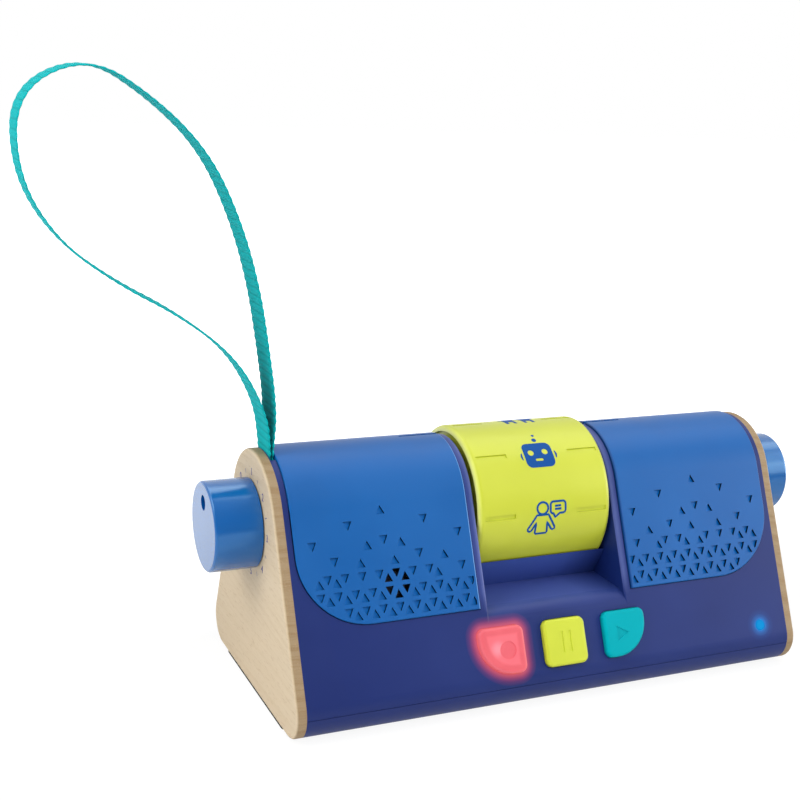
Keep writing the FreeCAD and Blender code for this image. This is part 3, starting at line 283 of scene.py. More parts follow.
def mouldedPlastic(name, recipe):
    material, point = newMaterial(name)
    skin = {**plasticSkin, **recipe}
    mottle, tone = toneNoise(material, point, skin["mottle"], 2.0,
        [(0.35, skin["deep"]), (0.65, skin["color"])])
    grain = addNode(material, "TexNoise", {"Vector": point, "Scale": 1000 / skin["grain"], "Detail": 3.0})
    satin = addNode(material, "MapRange", {"Value": mottle, "From Min": 0.3, "From Max": 0.7,
        "To Min": skin["roughness"] - skin["satin"], "To Max": skin["roughness"] + skin["satin"]})
    return finishMaterial(material, {"Base Color": tone, "Roughness": satin, "IOR": 1.5,
        "Specular IOR Level": skin["shine"]}, (grain, skin["bump"], skin["relief"]))


made = {name: mouldedPlastic(name, recipe) for name, recipe in plastics.items()}

# places on the front slope are worked out in its own millimetres: x across, s up the slope
slope = {"up": (0, 0.419028, 0.907973), "zero": 7.6951}
recordKey = {"x": -28.4, "s": 10.0, "halfWidth": 9.9, "halfHeight": 9.5, "corner": 3.0, "sweep": 14.5}
powerLight = {"x": 97.4, "s": 4.2, "radius": 2.4}


def slopePlace(material, x, s):
    scaled = addNode(material, "VectorMath SCALE", {0: addNode(material, "TexCoord").outputs["Object"],
        "Scale": 1000.0})
    up = addNode(material, "VectorMath DOT_PRODUCT", {0: scaled, 1: slope["up"]})
    split = addNode(material, "SeparateXYZ", {"Vector": scaled})
    flat = addNode(material, "CombineXYZ", {"X": split.outputs["X"], "Y": up})
    return addNode(material, "VectorMath SUBTRACT", {0: flat, 1: (x, s - slope["zero"], 0)})


def slopeDistance(material, x, s):
    return addNode(material, "VectorMath LENGTH", {0: slopePlace(material, x, s)})


def keyDistance(material):
    # millimetres outside the record key's outline: a round-cornered box with one corner swept wide
    corner, sweep = recordKey["corner"], recordKey["sweep"]
    half = Vector((recordKey["halfWidth"], recordKey["halfHeight"], 0))
    place = slopePlace(material, recordKey["x"], recordKey["s"])
    folded = addNode(material, "VectorMath ABSOLUTE", {0: place})
    reach = addNode(material, "VectorMath SUBTRACT", {0: folded, 1: half - Vector((corner, corner, 0))})
    outside = addNode(material, "VectorMath MAXIMUM", {0: reach, 1: (0, 0, 0)})
    far = addNode(material, "VectorMath LENGTH", {0: outside})
    sides = addNode(material, "SeparateXYZ", {"Vector": reach}).outputs
    deepest = addNode(material, "Math MAXIMUM", {0: sides["X"], 1: sides["Y"]})
    inside = addNode(material, "Math MINIMUM", {0: deepest, 1: 0.0})
    box = addNode(material, "Math ADD", {0: far, 1: inside})
    boxFar = addNode(material, "Math SUBTRACT", {0: box, 1: corner})
    arm = addNode(material, "VectorMath SUBTRACT", {0: place, 1: Vector((sweep, sweep, 0)) - half})
    armLength = addNode(material, "VectorMath LENGTH", {0: arm})
    sweepFar = addNode(material, "Math SUBTRACT", {0: armLength, 1: sweep})
    sides = addNode(material, "SeparateXYZ", {"Vector": arm}).outputs
    beyond = addNode(material, "Math MAXIMUM", {0: sides["X"], 1: sides["Y"]})
    inSweep = addNode(material, "Math LESS_THAN", {0: beyond, 1: 0.0})
    swept = addNode(material, "Math MAXIMUM", {0: boxFar, 1: sweepFar})
    return addNode(material, "Mix FLOAT", {0: inSweep, 2: boxFar, 3: swept})


# red light spilling from the record key's gap and blue light from the power lens are painted as a glow in
# the housing's own surface; reaches in millimetres
spill = {"redReach": 5.0, "red": [(0.0, "D4523F"), (0.2, "B84227"), (0.4, "902C10"),
    (0.66, "551200"), (1.0, "000000")], "blueReach": 7.0, "blue": [(0.0, "006FAD"),
    (0.22, "004B7C"), (0.55, "00213F"), (1.0, "000000")]}


def addGlow(material):
    fromKey = addNode(material, "MapRange", {"Value": keyDistance(material),
        "From Max": spill["redReach"]})
    red = addNode(material, "ValToRGB", {"Fac": fromKey, "stops": spill["red"]})
    lensFar = slopeDistance(material, powerLight["x"], powerLight["s"])
    fromLens = addNode(material, "MapRange", {"Value": lensFar, "From Min": powerLight["radius"],
        "From Max": spill["blueReach"]})
    blue = addNode(material, "ValToRGB", {"Fac": fromLens, "stops": spill["blue"]})
    both = addNode(material, "VectorMath ADD", {0: red, 1: blue})
    shader = material.node_tree.nodes["Principled BSDF"]
    shader.inputs["Emission Strength"].default_value = 1.0
    material.node_tree.links.new(both.outputs[0], shader.inputs["Emission Color"])


def layTone(material, tone, shares):
    # covers the base colour with another tone, as far as all the shares go together
    share = shares[0]
    for other in shares[1:]:
        share = addNode(material, "Math MULTIPLY", {0: share, 1: other})
    base = material.node_tree.nodes["Principled BSDF"].inputs["Base Color"]
    mixed = addNode(material, "Mix RGBA", {0: share, 6: base.links[0].from_socket, 7: tone})
    material.node_tree.links.new(mixed.outputs[2], base)


# heights are millimetres straight out from the front or the back slope, which both end at overTop. A
# slant is the part of a face's normal that points straight out, in thousandths
faces = {"front": {"out": (0, -907.973, 419.028), "zero": 57.19},
    "back": {"out": (0, 925.777, 378.07), "zero": 57.352}}
overTop = 84.0 * mm
slants = {"wall": 300.0, "floor": 700.0, "upright": 120.0}
# the lattice in the covers is painted with light and shade: its floors a brighter blue than the face as
# painted light against the shade they lie in, its walls deep navy as painted shade, and the walls of its
# holes still darker; the pictograms sunk in the keys have walls painted paler than the face, a painted
# highlight against their shade
paintedRecessShade = {
    "mouldedBlueAbs": {"color": "0070CC", "wall": "02163A", "hole": "010818", "faces": ["front", "back"],
        "floor": -0.2, "top": 0.65, "holeDepth": -3.0},
    "mouldedLimeKeyAbs": {"color": "D0DA40", "wall": "E8F064", "faces": ["front"], "floor": 2.25,
        "top": 2.5, "x": 0.0, "s": 10.0, "reach": 6.0},
    "mouldedTealKeyAbs": {"color": "00A2AE", "wall": "30E4F0", "faces": ["front"], "floor": 2.25,
        "top": 2.5, "x": 26.4, "s": 10.0, "reach": 6.0},
}


def faceHeight(material, face):
    out = addNode(material, "VectorMath DOT_PRODUCT", {0: addNode(material, "TexCoord").outputs["Object"],
        1: faces[face]["out"]})
    return addNode(material, "Math SUBTRACT", {0: out, 1: faces[face]["zero"]})


def toneRecesses(name):
    material, recipe = made[name], paintedRecessShade[name]
    coords = addNode(material, "TexCoord").outputs
    if "hole" in recipe:
        level = addNode(material, "SeparateXYZ", {"Vector": coords["Object"]}).outputs["Z"]
        below = addNode(material, "Math LESS_THAN", {0: level, 1: overTop})
    else:
        below = addNode(material, "Math LESS_THAN", {0: slopeDistance(material, recipe["x"], recipe["s"]),
            1: recipe["reach"]})
    sunk = below
    heights = {face: faceHeight(material, face) for face in recipe["faces"]}
    slant = {face: addNode(material, "VectorMath DOT_PRODUCT", {0: coords["Normal"],
        1: faces[face]["out"]}) for face in recipe["faces"]}
    for height in heights.values():
        depth = addNode(material, "MapRange", {"Value": height, "From Min": recipe["top"],
            "From Max": recipe["floor"]})
        sunk = addNode(material, "Math MINIMUM", {0: sunk, 1: depth})
    flat = addNode(material, "Math ABSOLUTE", {0: slant["front"]})
    isFloor = addNode(material, "MapRange", {"Value": flat, "From Min": slants["wall"],
        "From Max": slants["floor"]})
    # painted light on the sunk floors and painted shade on their walls (painted highlight on the keys'
    # walls)
    layTone(material, addNode(material, "Mix RGBA", {0: isFloor, 6: recipe["wall"], 7: recipe["color"]}),
        [sunk])
    for face in recipe["faces"] if "hole" in recipe else ():
        # walls standing square to the slope, all the way up to the outer face, get the near-black painted
        # shade of the holes
        upright = addNode(material, "Math COMPARE", {0: slant[face], 1: 0.0, 2: slants["upright"]})
        near = addNode(material, "Math GREATER_THAN", {0: heights[face], 1: recipe["holeDepth"]})
        layTone(material, recipe["hole"], [upright, near, below])


# edges beside and in the drum's channel are painted with light and shade: its cheeks carry a painted
# highlight that grows paler towards the drum, the covers' edges carry a painted highlight on the left and
# painted shade on the right, and the drum's rims carry a painted highlight. "side" is the side of the
# middle, "from" and "to" are millimetres from it, "lowest" is how high over a slope a band begins, and
# round "floor" it fades out downwards
paintedEdgeLight = {
    "mouldedBlueAbs": [
        {"side": -1, "from": 34.9, "to": 35.6, "lowest": 0.45, "floor": 20.0,
            "tones": [(0.0, "5C93D6"), (1.0, "5C93D6")]},
        {"side": 1, "from": 34.9, "to": 36.2, "lowest": -0.2, "floor": 20.0,
            "tones": [(0.0, "04366E"), (0.5, "08478C"), (1.0, "105AA3")]}],
    "mouldedLimeAbs": [
        {"side": -1, "from": 29.2, "to": 30.7, "lowest": -90.0, "floor": -20.0,
            "tones": [(0.0, "CCD43E"), (0.4, "DEE464"), (1.0, "EEF094")]},
        {"side": 1, "from": 29.6, "to": 30.7, "lowest": -90.0, "floor": -20.0,
            "tones": [(0.0, "CCD43E"), (0.4, "F4F6AC"), (1.0, "F4F6AC")]}],
    "litIndigoAbs": [
        {"side": -1, "from": 31.72, "to": 34.8, "lowest": -0.6, "floor": 44.0,
            "tones": [(0.0, "5865A4"), (0.25, "525F9E"), (0.55, "324388"), (1.0, "283A7E")]},
        {"side": 1, "from": 31.72, "to": 34.8, "lowest": -0.6, "floor": 44.0,
            "tones": [(0.0, "485592"), (0.4, "41518F"), (0.7, "304182"), (1.0, "203276")]}],
}
floorFade = 4.0


def toneBand(material, band):
    place = addNode(material, "SeparateXYZ", {"Vector": addNode(material, "TexCoord").outputs["Object"]})
    x, z = place.outputs["X"], place.outputs["Z"]
    across = addNode(material, "MapRange", {"Value": x, "From Min": band["side"] * band["from"] * mm,
        "From Max": band["side"] * band["to"] * mm})
    ramp = addNode(material, "ValToRGB", {"Fac": across, "stops": band["tones"]})
    middle = band["side"] * (band["from"] + band["to"]) / 2 * mm
    within = addNode(material, "Math COMPARE", {0: x, 1: middle, 2: (band["to"] - band["from"]) / 2 * mm})
    outside = addNode(material, "Math GREATER_THAN", {0: z, 1: overTop})
    for face in faces:
        near = addNode(material, "Math GREATER_THAN", {0: faceHeight(material, face), 1: band["lowest"]})
        outside = addNode(material, "Math MAXIMUM", {0: outside, 1: near})
    above = addNode(material, "MapRange", {"Value": z, "From Min": (band["floor"] - floorFade) * mm,
        "From Max": (band["floor"] + floorFade) * mm})
    # lays the band's painted highlight or painted shade over the base colour
    layTone(material, ramp, [within, outside, above])


# the channel's floor and trough are painted paler, a painted light that stands in for the light they lose
# under the drum: full in the middle and on the left, fading out towards the right
channel = {"litIndigoAbs": "44559A", "paintedLightIndigoAbs": "435AA8", "halfWidth": 31.6, "lowest": 38.0,
    "highest": 80.0, "depth": -5.0, "lightFullTo": 14.0, "lightNoneFrom": 35.0}


def paleChannel(name):
    material = made[name]
    coords = addNode(material, "TexCoord").outputs
    place = addNode(material, "SeparateXYZ", {"Vector": coords["Object"]}).outputs
    facing = addNode(material, "SeparateXYZ", {"Vector": coords["Normal"]}).outputs["X"]
    depth = addNode(material, "MapRange", {"Value": faceHeight(material, "front"),
        "From Max": channel["depth"]})
    across = addNode(material, "Math COMPARE", {0: place["X"], 1: 0.0, 2: channel["halfWidth"] * mm})
    middle = (channel["lowest"] + channel["highest"]) / 2 * mm
    level = addNode(material, "Math COMPARE", {0: place["Z"], 1: middle,
        2: channel["highest"] * mm - middle})
    upright = addNode(material, "Math COMPARE", {0: facing, 1: 0.0, 2: 0.5})
    lightAcross = addNode(material, "MapRange", {"Value": place["X"], "From Min": channel["lightNoneFrom"] * mm,
        "From Max": channel["lightFullTo"] * mm})
    # lays the painted light over the channel's floor and trough
    layTone(material, channel[name], [depth, across, level, upright, lightAcross])


for name in paintedRecessShade:
    toneRecesses(name)
for name in ("litIndigoAbs", "paintedLightIndigoAbs"):
    made[name] = mouldedPlastic(name, plastics["mouldedIndigoAbs"])
    paleChannel(name)
addGlow(made["litIndigoAbs"])
for name, bands in paintedEdgeLight.items():
    for band in bands:
        toneBand(made[name], band)

# the record key: translucent coral ABS with two red lamps behind it, so it glows from inside and
# its rounded rim carries more light than its flat. "rimFrom" and "rimTo" are millimetres past its outline
recordGlow = {"color": "C9525C", "deep": "C44B56", "mottle": 8.33, "roughness": 0.45, "middle": "9E5159",
    "step": "86373D", "rim": "954C53", "rimFrom": -4.5, "rimTo": 0.5,
    "dot": "8E4249", "dotX": 2.0, "dotFrom": 3.3, "dotTo": 3.7,
    "spot": "50656C", "spotX": -2.4, "spotS": 1.0, "spotFrom": 0.4, "spotTo": 4.2}


def translucentCoralAbs():
    material, point = newMaterial("translucentCoralAbs")
    _, base = toneNoise(material, point, recordGlow["mottle"], 2.0,
        [(0.35, recordGlow["deep"]), (0.65, recordGlow["color"])])
    depth = addNode(material, "MapRange", {"Value": keyDistance(material),
        "From Min": recordGlow["rimFrom"], "From Max": recordGlow["rimTo"]})
    rim = addNode(material, "ValToRGB", {"Fac": depth,
        "stops": [(0.12, recordGlow["middle"]), (0.36, recordGlow["step"]), (0.64, recordGlow["step"]),
        (0.8, recordGlow["rim"])]})
    dotFar = slopeDistance(material, recordKey["x"] + recordGlow["dotX"], recordKey["s"])
    offDot = addNode(material, "MapRange", {"Value": dotFar, "From Min": recordGlow["dotFrom"],
        "From Max": recordGlow["dotTo"]})
    spotFar = slopeDistance(material, recordKey["x"] + recordGlow["spotX"],
        recordKey["s"] + recordGlow["spotS"])
    spot = addNode(material, "MapRange", {"interpolation_type": "SMOOTHSTEP", "Value": spotFar,
        "From Min": recordGlow["spotFrom"], "From Max": recordGlow["spotTo"]})
    spotRamp = addNode(material, "ValToRGB", {"Fac": spot,
        "stops": [(0.0, recordGlow["spot"]), (1.0, "000000")]})
    aroundDot = addNode(material, "VectorMath ADD", {0: rim, 1: spotRamp})
    glow = addNode(material, "Mix RGBA", {0: offDot, 6: recordGlow["dot"], 7: aroundDot})
    return finishMaterial(material, {"Base Color": base, "Emission Color": glow, "IOR": 1.5,
        "Emission Strength": 1.0, "Roughness": recordGlow["roughness"], "Specular IOR Level": 0.35})


# knobs: turned wood sprayed with pearl blue lacquer under a thin clear coat, so highlights stay bluish
lacquer = {"color": "0259A7", "deep": "0255A2", "pearl": "B0ECFF", "roughness": 0.22,
    "coatRoughness": 0.2, "mottle": 22.2, "peel": 1.11}


def sprayedLacquer():
    material, point = newMaterial("sprayedBlueLacquer")
    _, tone = toneNoise(material, point, lacquer["mottle"], 1.0,
        [(0.35, lacquer["deep"]), (0.65, lacquer["color"])])
    orangePeel = addNode(material, "TexNoise", {"Vector": point, "Scale": 1000 / lacquer["peel"],
        "Detail": 1.0})
    return finishMaterial(material, {"Base Color": tone, "IOR": 1.5, "Roughness": lacquer["roughness"],
        "Specular IOR Level": 1.0, "Specular Tint": lacquer["pearl"], "Coat Weight": 0.3,
        "Coat Roughness": lacquer["coatRoughness"], "Coat IOR": 1.5}, (orangePeel, 0.06, 0.05 * mm))


# beech: pale, fibres from front to back, growth rings 2 to 4 mm apart that show as soft stripes on the
# faces and as fine darker lines across the sawn edges, with short brown flecks
beech = {"face": "D9C6A9", "warm": "D4C0A1", "edge": "A28B6B", "edgeDeep": "967C5A", "fleck": "B89C76",
    "roughness": 0.6, "ring": 2.6, "bow": 0.035, "lean": 0.18, "drift": (71.43, 200.0, 45.45),
    "fibres": (0.385, 18.2, 0.385), "flecks": (0.667, 3.85, 0.476), "sawn": (11.1, 2.5, 0.435)}


def oiledBeech():
    material, point = newMaterial("oiledBeech")
    place = addNode(material, "SeparateXYZ", {"Vector": point}).outputs
    drift = stretchedNoise(material, point, beech["drift"], 1.0)
    level = addNode(material, "Math MULTIPLY_ADD", {0: drift, 1: beech["bow"], 2: place["Z"]})
    tilt = addNode(material, "Math MULTIPLY_ADD", {0: place["X"], 1: beech["lean"], 2: level})
    rings = addNode(material, "TexNoise", {"noise_dimensions": "1D", "W": tilt,
        "Scale": 1000 / beech["ring"], "Detail": 2.0})
    fibre = stretchedNoise(material, point, beech["fibres"], 3.0)
    fleck = stretchedNoise(material, point, beech["flecks"], 1.0)
    figure = addNode(material, "Math MULTIPLY_ADD", {0: fibre, 1: 0.6, 2: rings})
    face = addNode(material, "ValToRGB", {"Fac": figure,
        "stops": [(0.55, beech["warm"]), (0.9, beech["face"])]})
    # sawn edges lie square to the fibres, so their open ends drink more oil
    sawn = stretchedNoise(material, point, beech["sawn"], 3.0)
    edgeFigure = addNode(material, "Math MULTIPLY_ADD", {0: sawn, 1: 0.7, 2: rings})
    edge = addNode(material, "ValToRGB", {"Fac": edgeFigure,
        "stops": [(0.6, beech["edgeDeep"]), (0.95, beech["edge"])]})
    facing = addNode(material, "SeparateXYZ", {"Vector": addNode(material, "TexCoord").outputs["Normal"]})
    across = addNode(material, "Math ABSOLUTE", {0: facing.outputs["X"]})
    isFace = addNode(material, "MapRange", {"Value": across, "From Min": 0.35, "From Max": 0.85})
    tone = addNode(material, "Mix RGBA", {0: isFace, 6: edge, 7: face})
    fleckShare = addNode(material, "MapRange", {"Value": fleck, "From Min": 0.6, "From Max": 0.72,
        "To Max": 0.4})
    flecked = addNode(material, "Mix RGBA", {0: fleckShare, 6: tone, 7: beech["fleck"]})
    sheen = addNode(material, "MapRange", {"Value": fibre, "To Min": beech["roughness"] - 0.06,
        "To Max": beech["roughness"] + 0.08})
    return finishMaterial(material, {"Base Color": flecked, "Roughness": sheen, "IOR": 1.45,
        "Specular IOR Level": 0.3}, (figure, 0.25, 0.1 * mm))


# bare and plated metals: faint turning or drawing marks that break the highlight
metals = {
    "zincPlatedSteel": {"color": "B4B8BE", "deep": "9DA2A9", "roughness": 0.32,
        "marks": (3.33, 3.33, 0.417)},
    "turnedBrass": {"color": "D2B068", "deep": "BE9A50", "roughness": 0.26, "marks": (0.385, 5.0, 5.0)},
    "nickelPlate": {"color": "CDCFD0", "deep": "B9BBBD", "roughness": 0.22, "marks": (2.5, 0.714, 0.714)},
    "drawnAluminium": {"color": "C9CBCE", "deep": "B4B6BA", "roughness": 0.38,
        "marks": (0.625, 0.625, 5.0)},
    "blackenedSteel": {"color": "4A4C50", "deep": "393B3F", "roughness": 0.45,
        "marks": (1.11, 1.11, 1.11)},
}


def markedMetal(name):
    recipe = metals[name]
    material, point = newMaterial(name)
    marks = stretchedNoise(material, point, recipe["marks"], 3.0)
    tone = addNode(material, "ValToRGB", {"Fac": marks,
        "stops": [(0.3, recipe["deep"]), (0.7, recipe["color"])]})
    rough = addNode(material, "MapRange", {"Value": marks, "To Min": recipe["roughness"] - 0.08,
        "To Max": recipe["roughness"] + 0.1})
    return finishMaterial(material, {"Metallic": 1.0, "Base Color": tone, "Roughness": rough},
        (marks, 0.1, 0.04 * mm))


# glass-cloth board under green solder mask: copper tracks show through as paler lines
board = {"mask": "17603A", "track": "2A8553", "pad": "C9C3A8", "trackPitch": 1.3, "padReach": 0.16,
    "roughness": 0.33}


def solderMaskBoard():
    material, point = newMaterial("solderMaskBoard")
    scaled = addNode(material, "Mapping", {"Vector": point, "Scale": (1000 / board["trackPitch"],) * 3})
    tracks = addNode(material, "TexVoronoi", {"feature": "DISTANCE_TO_EDGE", "Vector": scaled,
        "Scale": 0.35})
    line = addNode(material, "MapRange", {"Value": tracks, "From Min": 0.05, "From Max": 0.09,
        "To Min": 1.0, "To Max": 0.0})
    ramp = addNode(material, "ValToRGB", {"Fac": line,
        "stops": [(0.0, board["mask"]), (1.0, board["track"])]})
    pads = addNode(material, "TexVoronoi", {"Vector": scaled, "Scale": 0.5})
    pad = addNode(material, "Math LESS_THAN", {0: pads, 1: board["padReach"]})
    tone = addNode(material, "Mix RGBA", {0: pad, 6: ramp, 7: board["pad"]})
    return finishMaterial(material, {"Base Color": tone, "IOR": 1.5, "Roughness": board["roughness"]},
        (line, 0.3, 0.05 * mm))


# shrink film over the cells: two plain colours, lightly wrinkled where it was heated
sleeve = {"body": "2F3742", "band": "B4713C", "bandFrom": 12.0 * mm, "bandTo": 12.5 * mm,
    "wrinkle": 2.0, "roughness": 0.28}


def shrinkSleeve():
    material, point = newMaterial("printedShrinkFilm")
    place = addNode(material, "SeparateXYZ", {"Vector": point}).outputs
    share = addNode(material, "MapRange", {"Value": place["X"], "From Min": sleeve["bandFrom"],
        "From Max": sleeve["bandTo"]})
    tone = addNode(material, "ValToRGB", {"Fac": share,
        "stops": [(0.0, sleeve["body"]), (1.0, sleeve["band"])]})
    wrinkle = addNode(material, "TexNoise", {"Vector": point, "Scale": 1000 / sleeve["wrinkle"]})
    return finishMaterial(material, {"Base Color": tone, "IOR": 1.5, "Roughness": sleeve["roughness"]},
        (wrinkle, 0.15, 0.1 * mm))


# clear coloured resin with light inside: brightest in the middle, deeper at its rim
lensHaze = {"size": 1.43, "clear": 0.25, "dull": 0.45}
lenses = {
    "litAcrylicLens": {"color": "085890", "middle": "007CAD", "rim": "0069A2", "lights": powerLight,
        "reach": 2.4},
    "redEpoxyLamp": {"color": "D83A42", "middle": "F36159", "rim": "AA3030", "lights": recordKey,
        "reach": 9.0},
    "blueEpoxyLamp": {"color": "8FCFEA", "middle": "7CCBF3", "rim": "5995CB", "lights": powerLight,
        "reach": 3.0},
}


def litResin(name):
    recipe = lenses[name]
    material, point = newMaterial(name)
    far = slopeDistance(material, recipe["lights"]["x"], recipe["lights"]["s"])
    share = addNode(material, "MapRange", {"Value": far, "From Max": recipe["reach"]})
    glow = addNode(material, "ValToRGB", {"Fac": share,
        "stops": [(0.45, recipe["middle"]), (1.0, recipe["rim"])]})
    haze = addNode(material, "TexNoise", {"Vector": point, "Scale": 1000 / lensHaze["size"]})
    rough = addNode(material, "MapRange", {"Value": haze, "To Min": lensHaze["clear"],
        "To Max": lensHaze["dull"]})
    return finishMaterial(material, {"Base Color": recipe["color"], "Roughness": rough, "IOR": 1.49,
        "Specular IOR Level": 0.03, "Emission Color": glow, "Emission Strength": 1.0})


for makeSurface in (translucentCoralAbs, sprayedLacquer, oiledBeech, solderMaskBoard, shrinkSleeve):
    material = makeSurface()
    made[material.name] = material
made.update({name: markedMetal(name) for name in metals})
made.update({name: litResin(name) for name in lenses})

finishes = {
    "litIndigoAbs": ["housing_shell"],
    "paintedLightIndigoAbs": ["drum_trough"],
    "mouldedIndigoAbs": ["base_tray", "battery_box", "battery_door", "strap_clamp"],
    "mouldedBlueAbs": ["cover_left", "cover_right"],
    "mouldedLimeAbs": ["drum_shell", "drum_end_left", "drum_end_right"],
    "mouldedLimeKeyAbs": ["pause_button"],
    "mouldedTealKeyAbs": ["play_button"],
    "translucentCoralAbs": ["record_button"],
    "sprayedBlueLacquer": ["knob_left", "knob_right"],
    "oiledBeech": ["end_panel_left", "end_panel_right"],
    "mouldedNitrileRubber": ["foot_pads", "microphone_boot", "speaker_gasket"],
    "mouldedBlackAbs": ["drum_encoder", "number_switch", "volume_control"],
    "mouldedWhiteAcetal": ["drum_bushes"],
    "mouldedSilicone": ["record_dome", "pause_dome", "play_dome"],
    "mouldedEpoxyPackage": ["main_board_parts"],
    "pressedPaperCone": ["speaker_cone"],
    "solderMaskBoard": ["button_board", "light_board", "microphone_board", "main_board"],
    "printedShrinkFilm": ["battery_cells"],
    "zincPlatedSteel": ["base_screws", "panel_screws_left", "panel_screws_right", "speaker_screws",
        "board_screws", "strap_screws", "battery_door_screw", "drum_axle"],
    "turnedBrass": ["knob_shaft_left", "knob_shaft_right"],
    "nickelPlate": ["shaft_nuts", "battery_contacts", "battery_springs"],
    "drawnAluminium": ["microphone"],
    "blackenedSteel": ["loudspeaker"],
    "litAcrylicLens": ["power_light_lens"],
    "redEpoxyLamp": ["record_lamps"],
    "blueEpoxyLamp": ["power_lamp"],
}
finished = set()
for name, nodeNames in finishes.items():
    for nodeName in nodeNames:
        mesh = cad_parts[nodeName].data
        mesh.materials.clear()
        mesh.materials.append(made[name])
        finished.add(nodeName)
print("materials on", len(finished), "nodes, left:",
    sorted(set(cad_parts) - finished - {"carry_loop"}))

# pictograms printed on the drum, one to each station. Each is drawn flat in millimetres, x across and
# u up, in its own 40 mm of one sheet, and then the sheet is laid round the drum
drumPrint = {"line": 0.95, "height": 0.09, "radius": 32.7, "sunkIn": 0.02, "firstStation": 5.3,
    "stationStep": 45.0, "sheetStep": 40.0}
axis = {"y": 2.55, "z": 71.1}  # of the drum and of both knobs


def arcPoints(x, u, radius, start, end, count=24):
    angles = [math.radians(start + (end - start) * k / count) for k in range(count + 1)]
    return [(x + radius * math.cos(a), u + radius * math.sin(a)) for a in angles]


def dotPoints(x, u, radius):
    return arcPoints(x, u, radius, 0, 340, 17)


def roundBox(left, right, low, high, radius, count=6):
    corners = [(right, high, -1, -1), (left, high, 1, -1), (left, low, 1, 1), (right, low, -1, 1)]
    return [point for k, (x, u, inX, inU) in enumerate(corners)
        for point in arcPoints(x + inX * radius, u + inU * radius, radius, 90 * k, 90 * k + 90, count)]


bubble = roundBox(1.75, 8.75, -0.35, 4.6, 1.3)
bubble = bubble[:21] + [(3.1, -0.35), (4.0, -2.0), (6.1, -0.35)] + bubble[21:]
starPoints = [(4.2 + r * math.sin(math.radians(36 * k)), 2.6 + r * math.cos(math.radians(36 * k)))
    for k, r in enumerate([2.4, 1.05] * 5)]
moon = arcPoints(-1.5, 0, 5.2, 60, 300, 30) + arcPoints(1.4, 0, 4.55, 262, 98, 24)
icons = [
    {"loops": [arcPoints(-1.9, 2.25, 2.5, 0, 345), bubble,
        [(-4.5, -0.5), (-8.4, -6.1), (-8.3, -6.9), (-7.5, -7.4), (-6.7, -7.0), (-4.7, -3.7),
            (-5.0, -8.0), (-4.5, -8.6), (0.1, -8.6), (0.6, -8.0), (0.3, -3.7), (2.5, -6.9),
            (3.2, -7.3), (4.0, -6.9), (4.0, -6.1), (0.8, -0.5)]],
        "lines": [[(3.75, 2.75), (6.6, 2.75)], [(3.75, 1.45), (6.8, 1.45)]]},
    {"filled": [roundBox(-6.1, 7.2, -6.4, 5.3, 2.6), dotPoints(-2.8, 0.45, 1.35),
        dotPoints(3.75, 0.6, 1.35), roundBox(-1.5, 2.0, -3.55, -2.45, 0.5, 3),
        [(-7.0, 0.8), (-7.6, 0.2), (-7.9, -1.0), (-7.6, -2.3), (-7.0, -2.9)],
        [(8.1, 0.9), (8.1, -2.8), (8.7, -2.2), (9.0, -0.9), (8.7, 0.3)],
        dotPoints(1.3, 7.1, 1.05), dotPoints(1.9, 9.9, 0.65)]},
    {"filled": [[(-4.0, -3.8), (-2.7, -3.8), (-2.7, -1.3), (-0.4, -1.3), (-0.4, -3.8), (0.9, -3.8),
        (0.9, 2.6), (4.4, 2.6), (4.4, -3.8), (5.7, -3.8), (5.7, -1.3), (8.1, -1.3), (8.1, -3.8),
        (9.4, -3.8), (9.4, 2.5), (11.4, 2.9), (11.9, 4.7), (10.1, 5.4), (9.3, 6.7), (8.4, 4.9),
        (-2.6, 4.9), (-5.4, 2.7), (-4.6, 2.1), (-4.0, 2.5)]]},
    {"filled": [dotPoints(-3.7, -4.6, 1.9), dotPoints(4.3, -3.4, 1.9)],
        "lines": [[(-2.1, -4.4), (-2.1, 5.0), (5.9, 6.6), (5.9, -3.2)], [(-2.1, 3.0), (5.9, 4.6)]]},
    {"loops": [moon, starPoints]},
    {"loops": [[(-5.4, -6.2), (5.4, -6.2), (5.4, 0.8), (-5.4, 0.8)],
        [(-1.5, -6.2), (1.5, -6.2), (1.5, -2.2), (-1.5, -2.2)]],
        "lines": [[(-7.4, 0.2), (0, 6.6), (7.4, 0.2)]],
        "filled": [roundBox(-3.9, -2.5, -1.6, -0.4, 0.3, 3), roundBox(2.5, 3.9, -1.6, -0.4, 0.3, 3)]},
    {"loops": [arcPoints(0, 0, 3.3, 0, 345)],
        "lines": [[(r * math.cos(a), r * math.sin(a)) for r in (4.7, 6.9)]
            for a in [math.radians(45 * k) for k in range(8)]]},
    {"loops": [[(0, -5.6), (0, 2.6), (side * 2.6, 3.8), (side * 7.4, 3.4), (side * 7.4, -5.0),
        (side * 2.6, -4.6)] for side in (-1, 1)],
        "lines": [[(-5.4, 0.9), (-2.3, 1.1)], [(-5.4, -1.7), (-2.3, -1.5)], [(2.3, 1.1), (5.4, 0.9)],
            [(2.3, -1.5), (5.4, -1.7)]]},
]


def shortSteps(points, closed, step=0.9):
    # steps short enough to follow the drum once they are laid round it
    ends = points[1:] + (points[:1] if closed else [])
    steps = []
    for (ax, au), (bx, bu) in zip(points, ends):
        count = max(1, math.ceil(math.hypot(bx - ax, bu - au) / step))
        steps += [(ax + (bx - ax) * k / count, au + (bu - au) * k / count) for k in range(count)]
    return steps if closed else steps + [points[-1]]


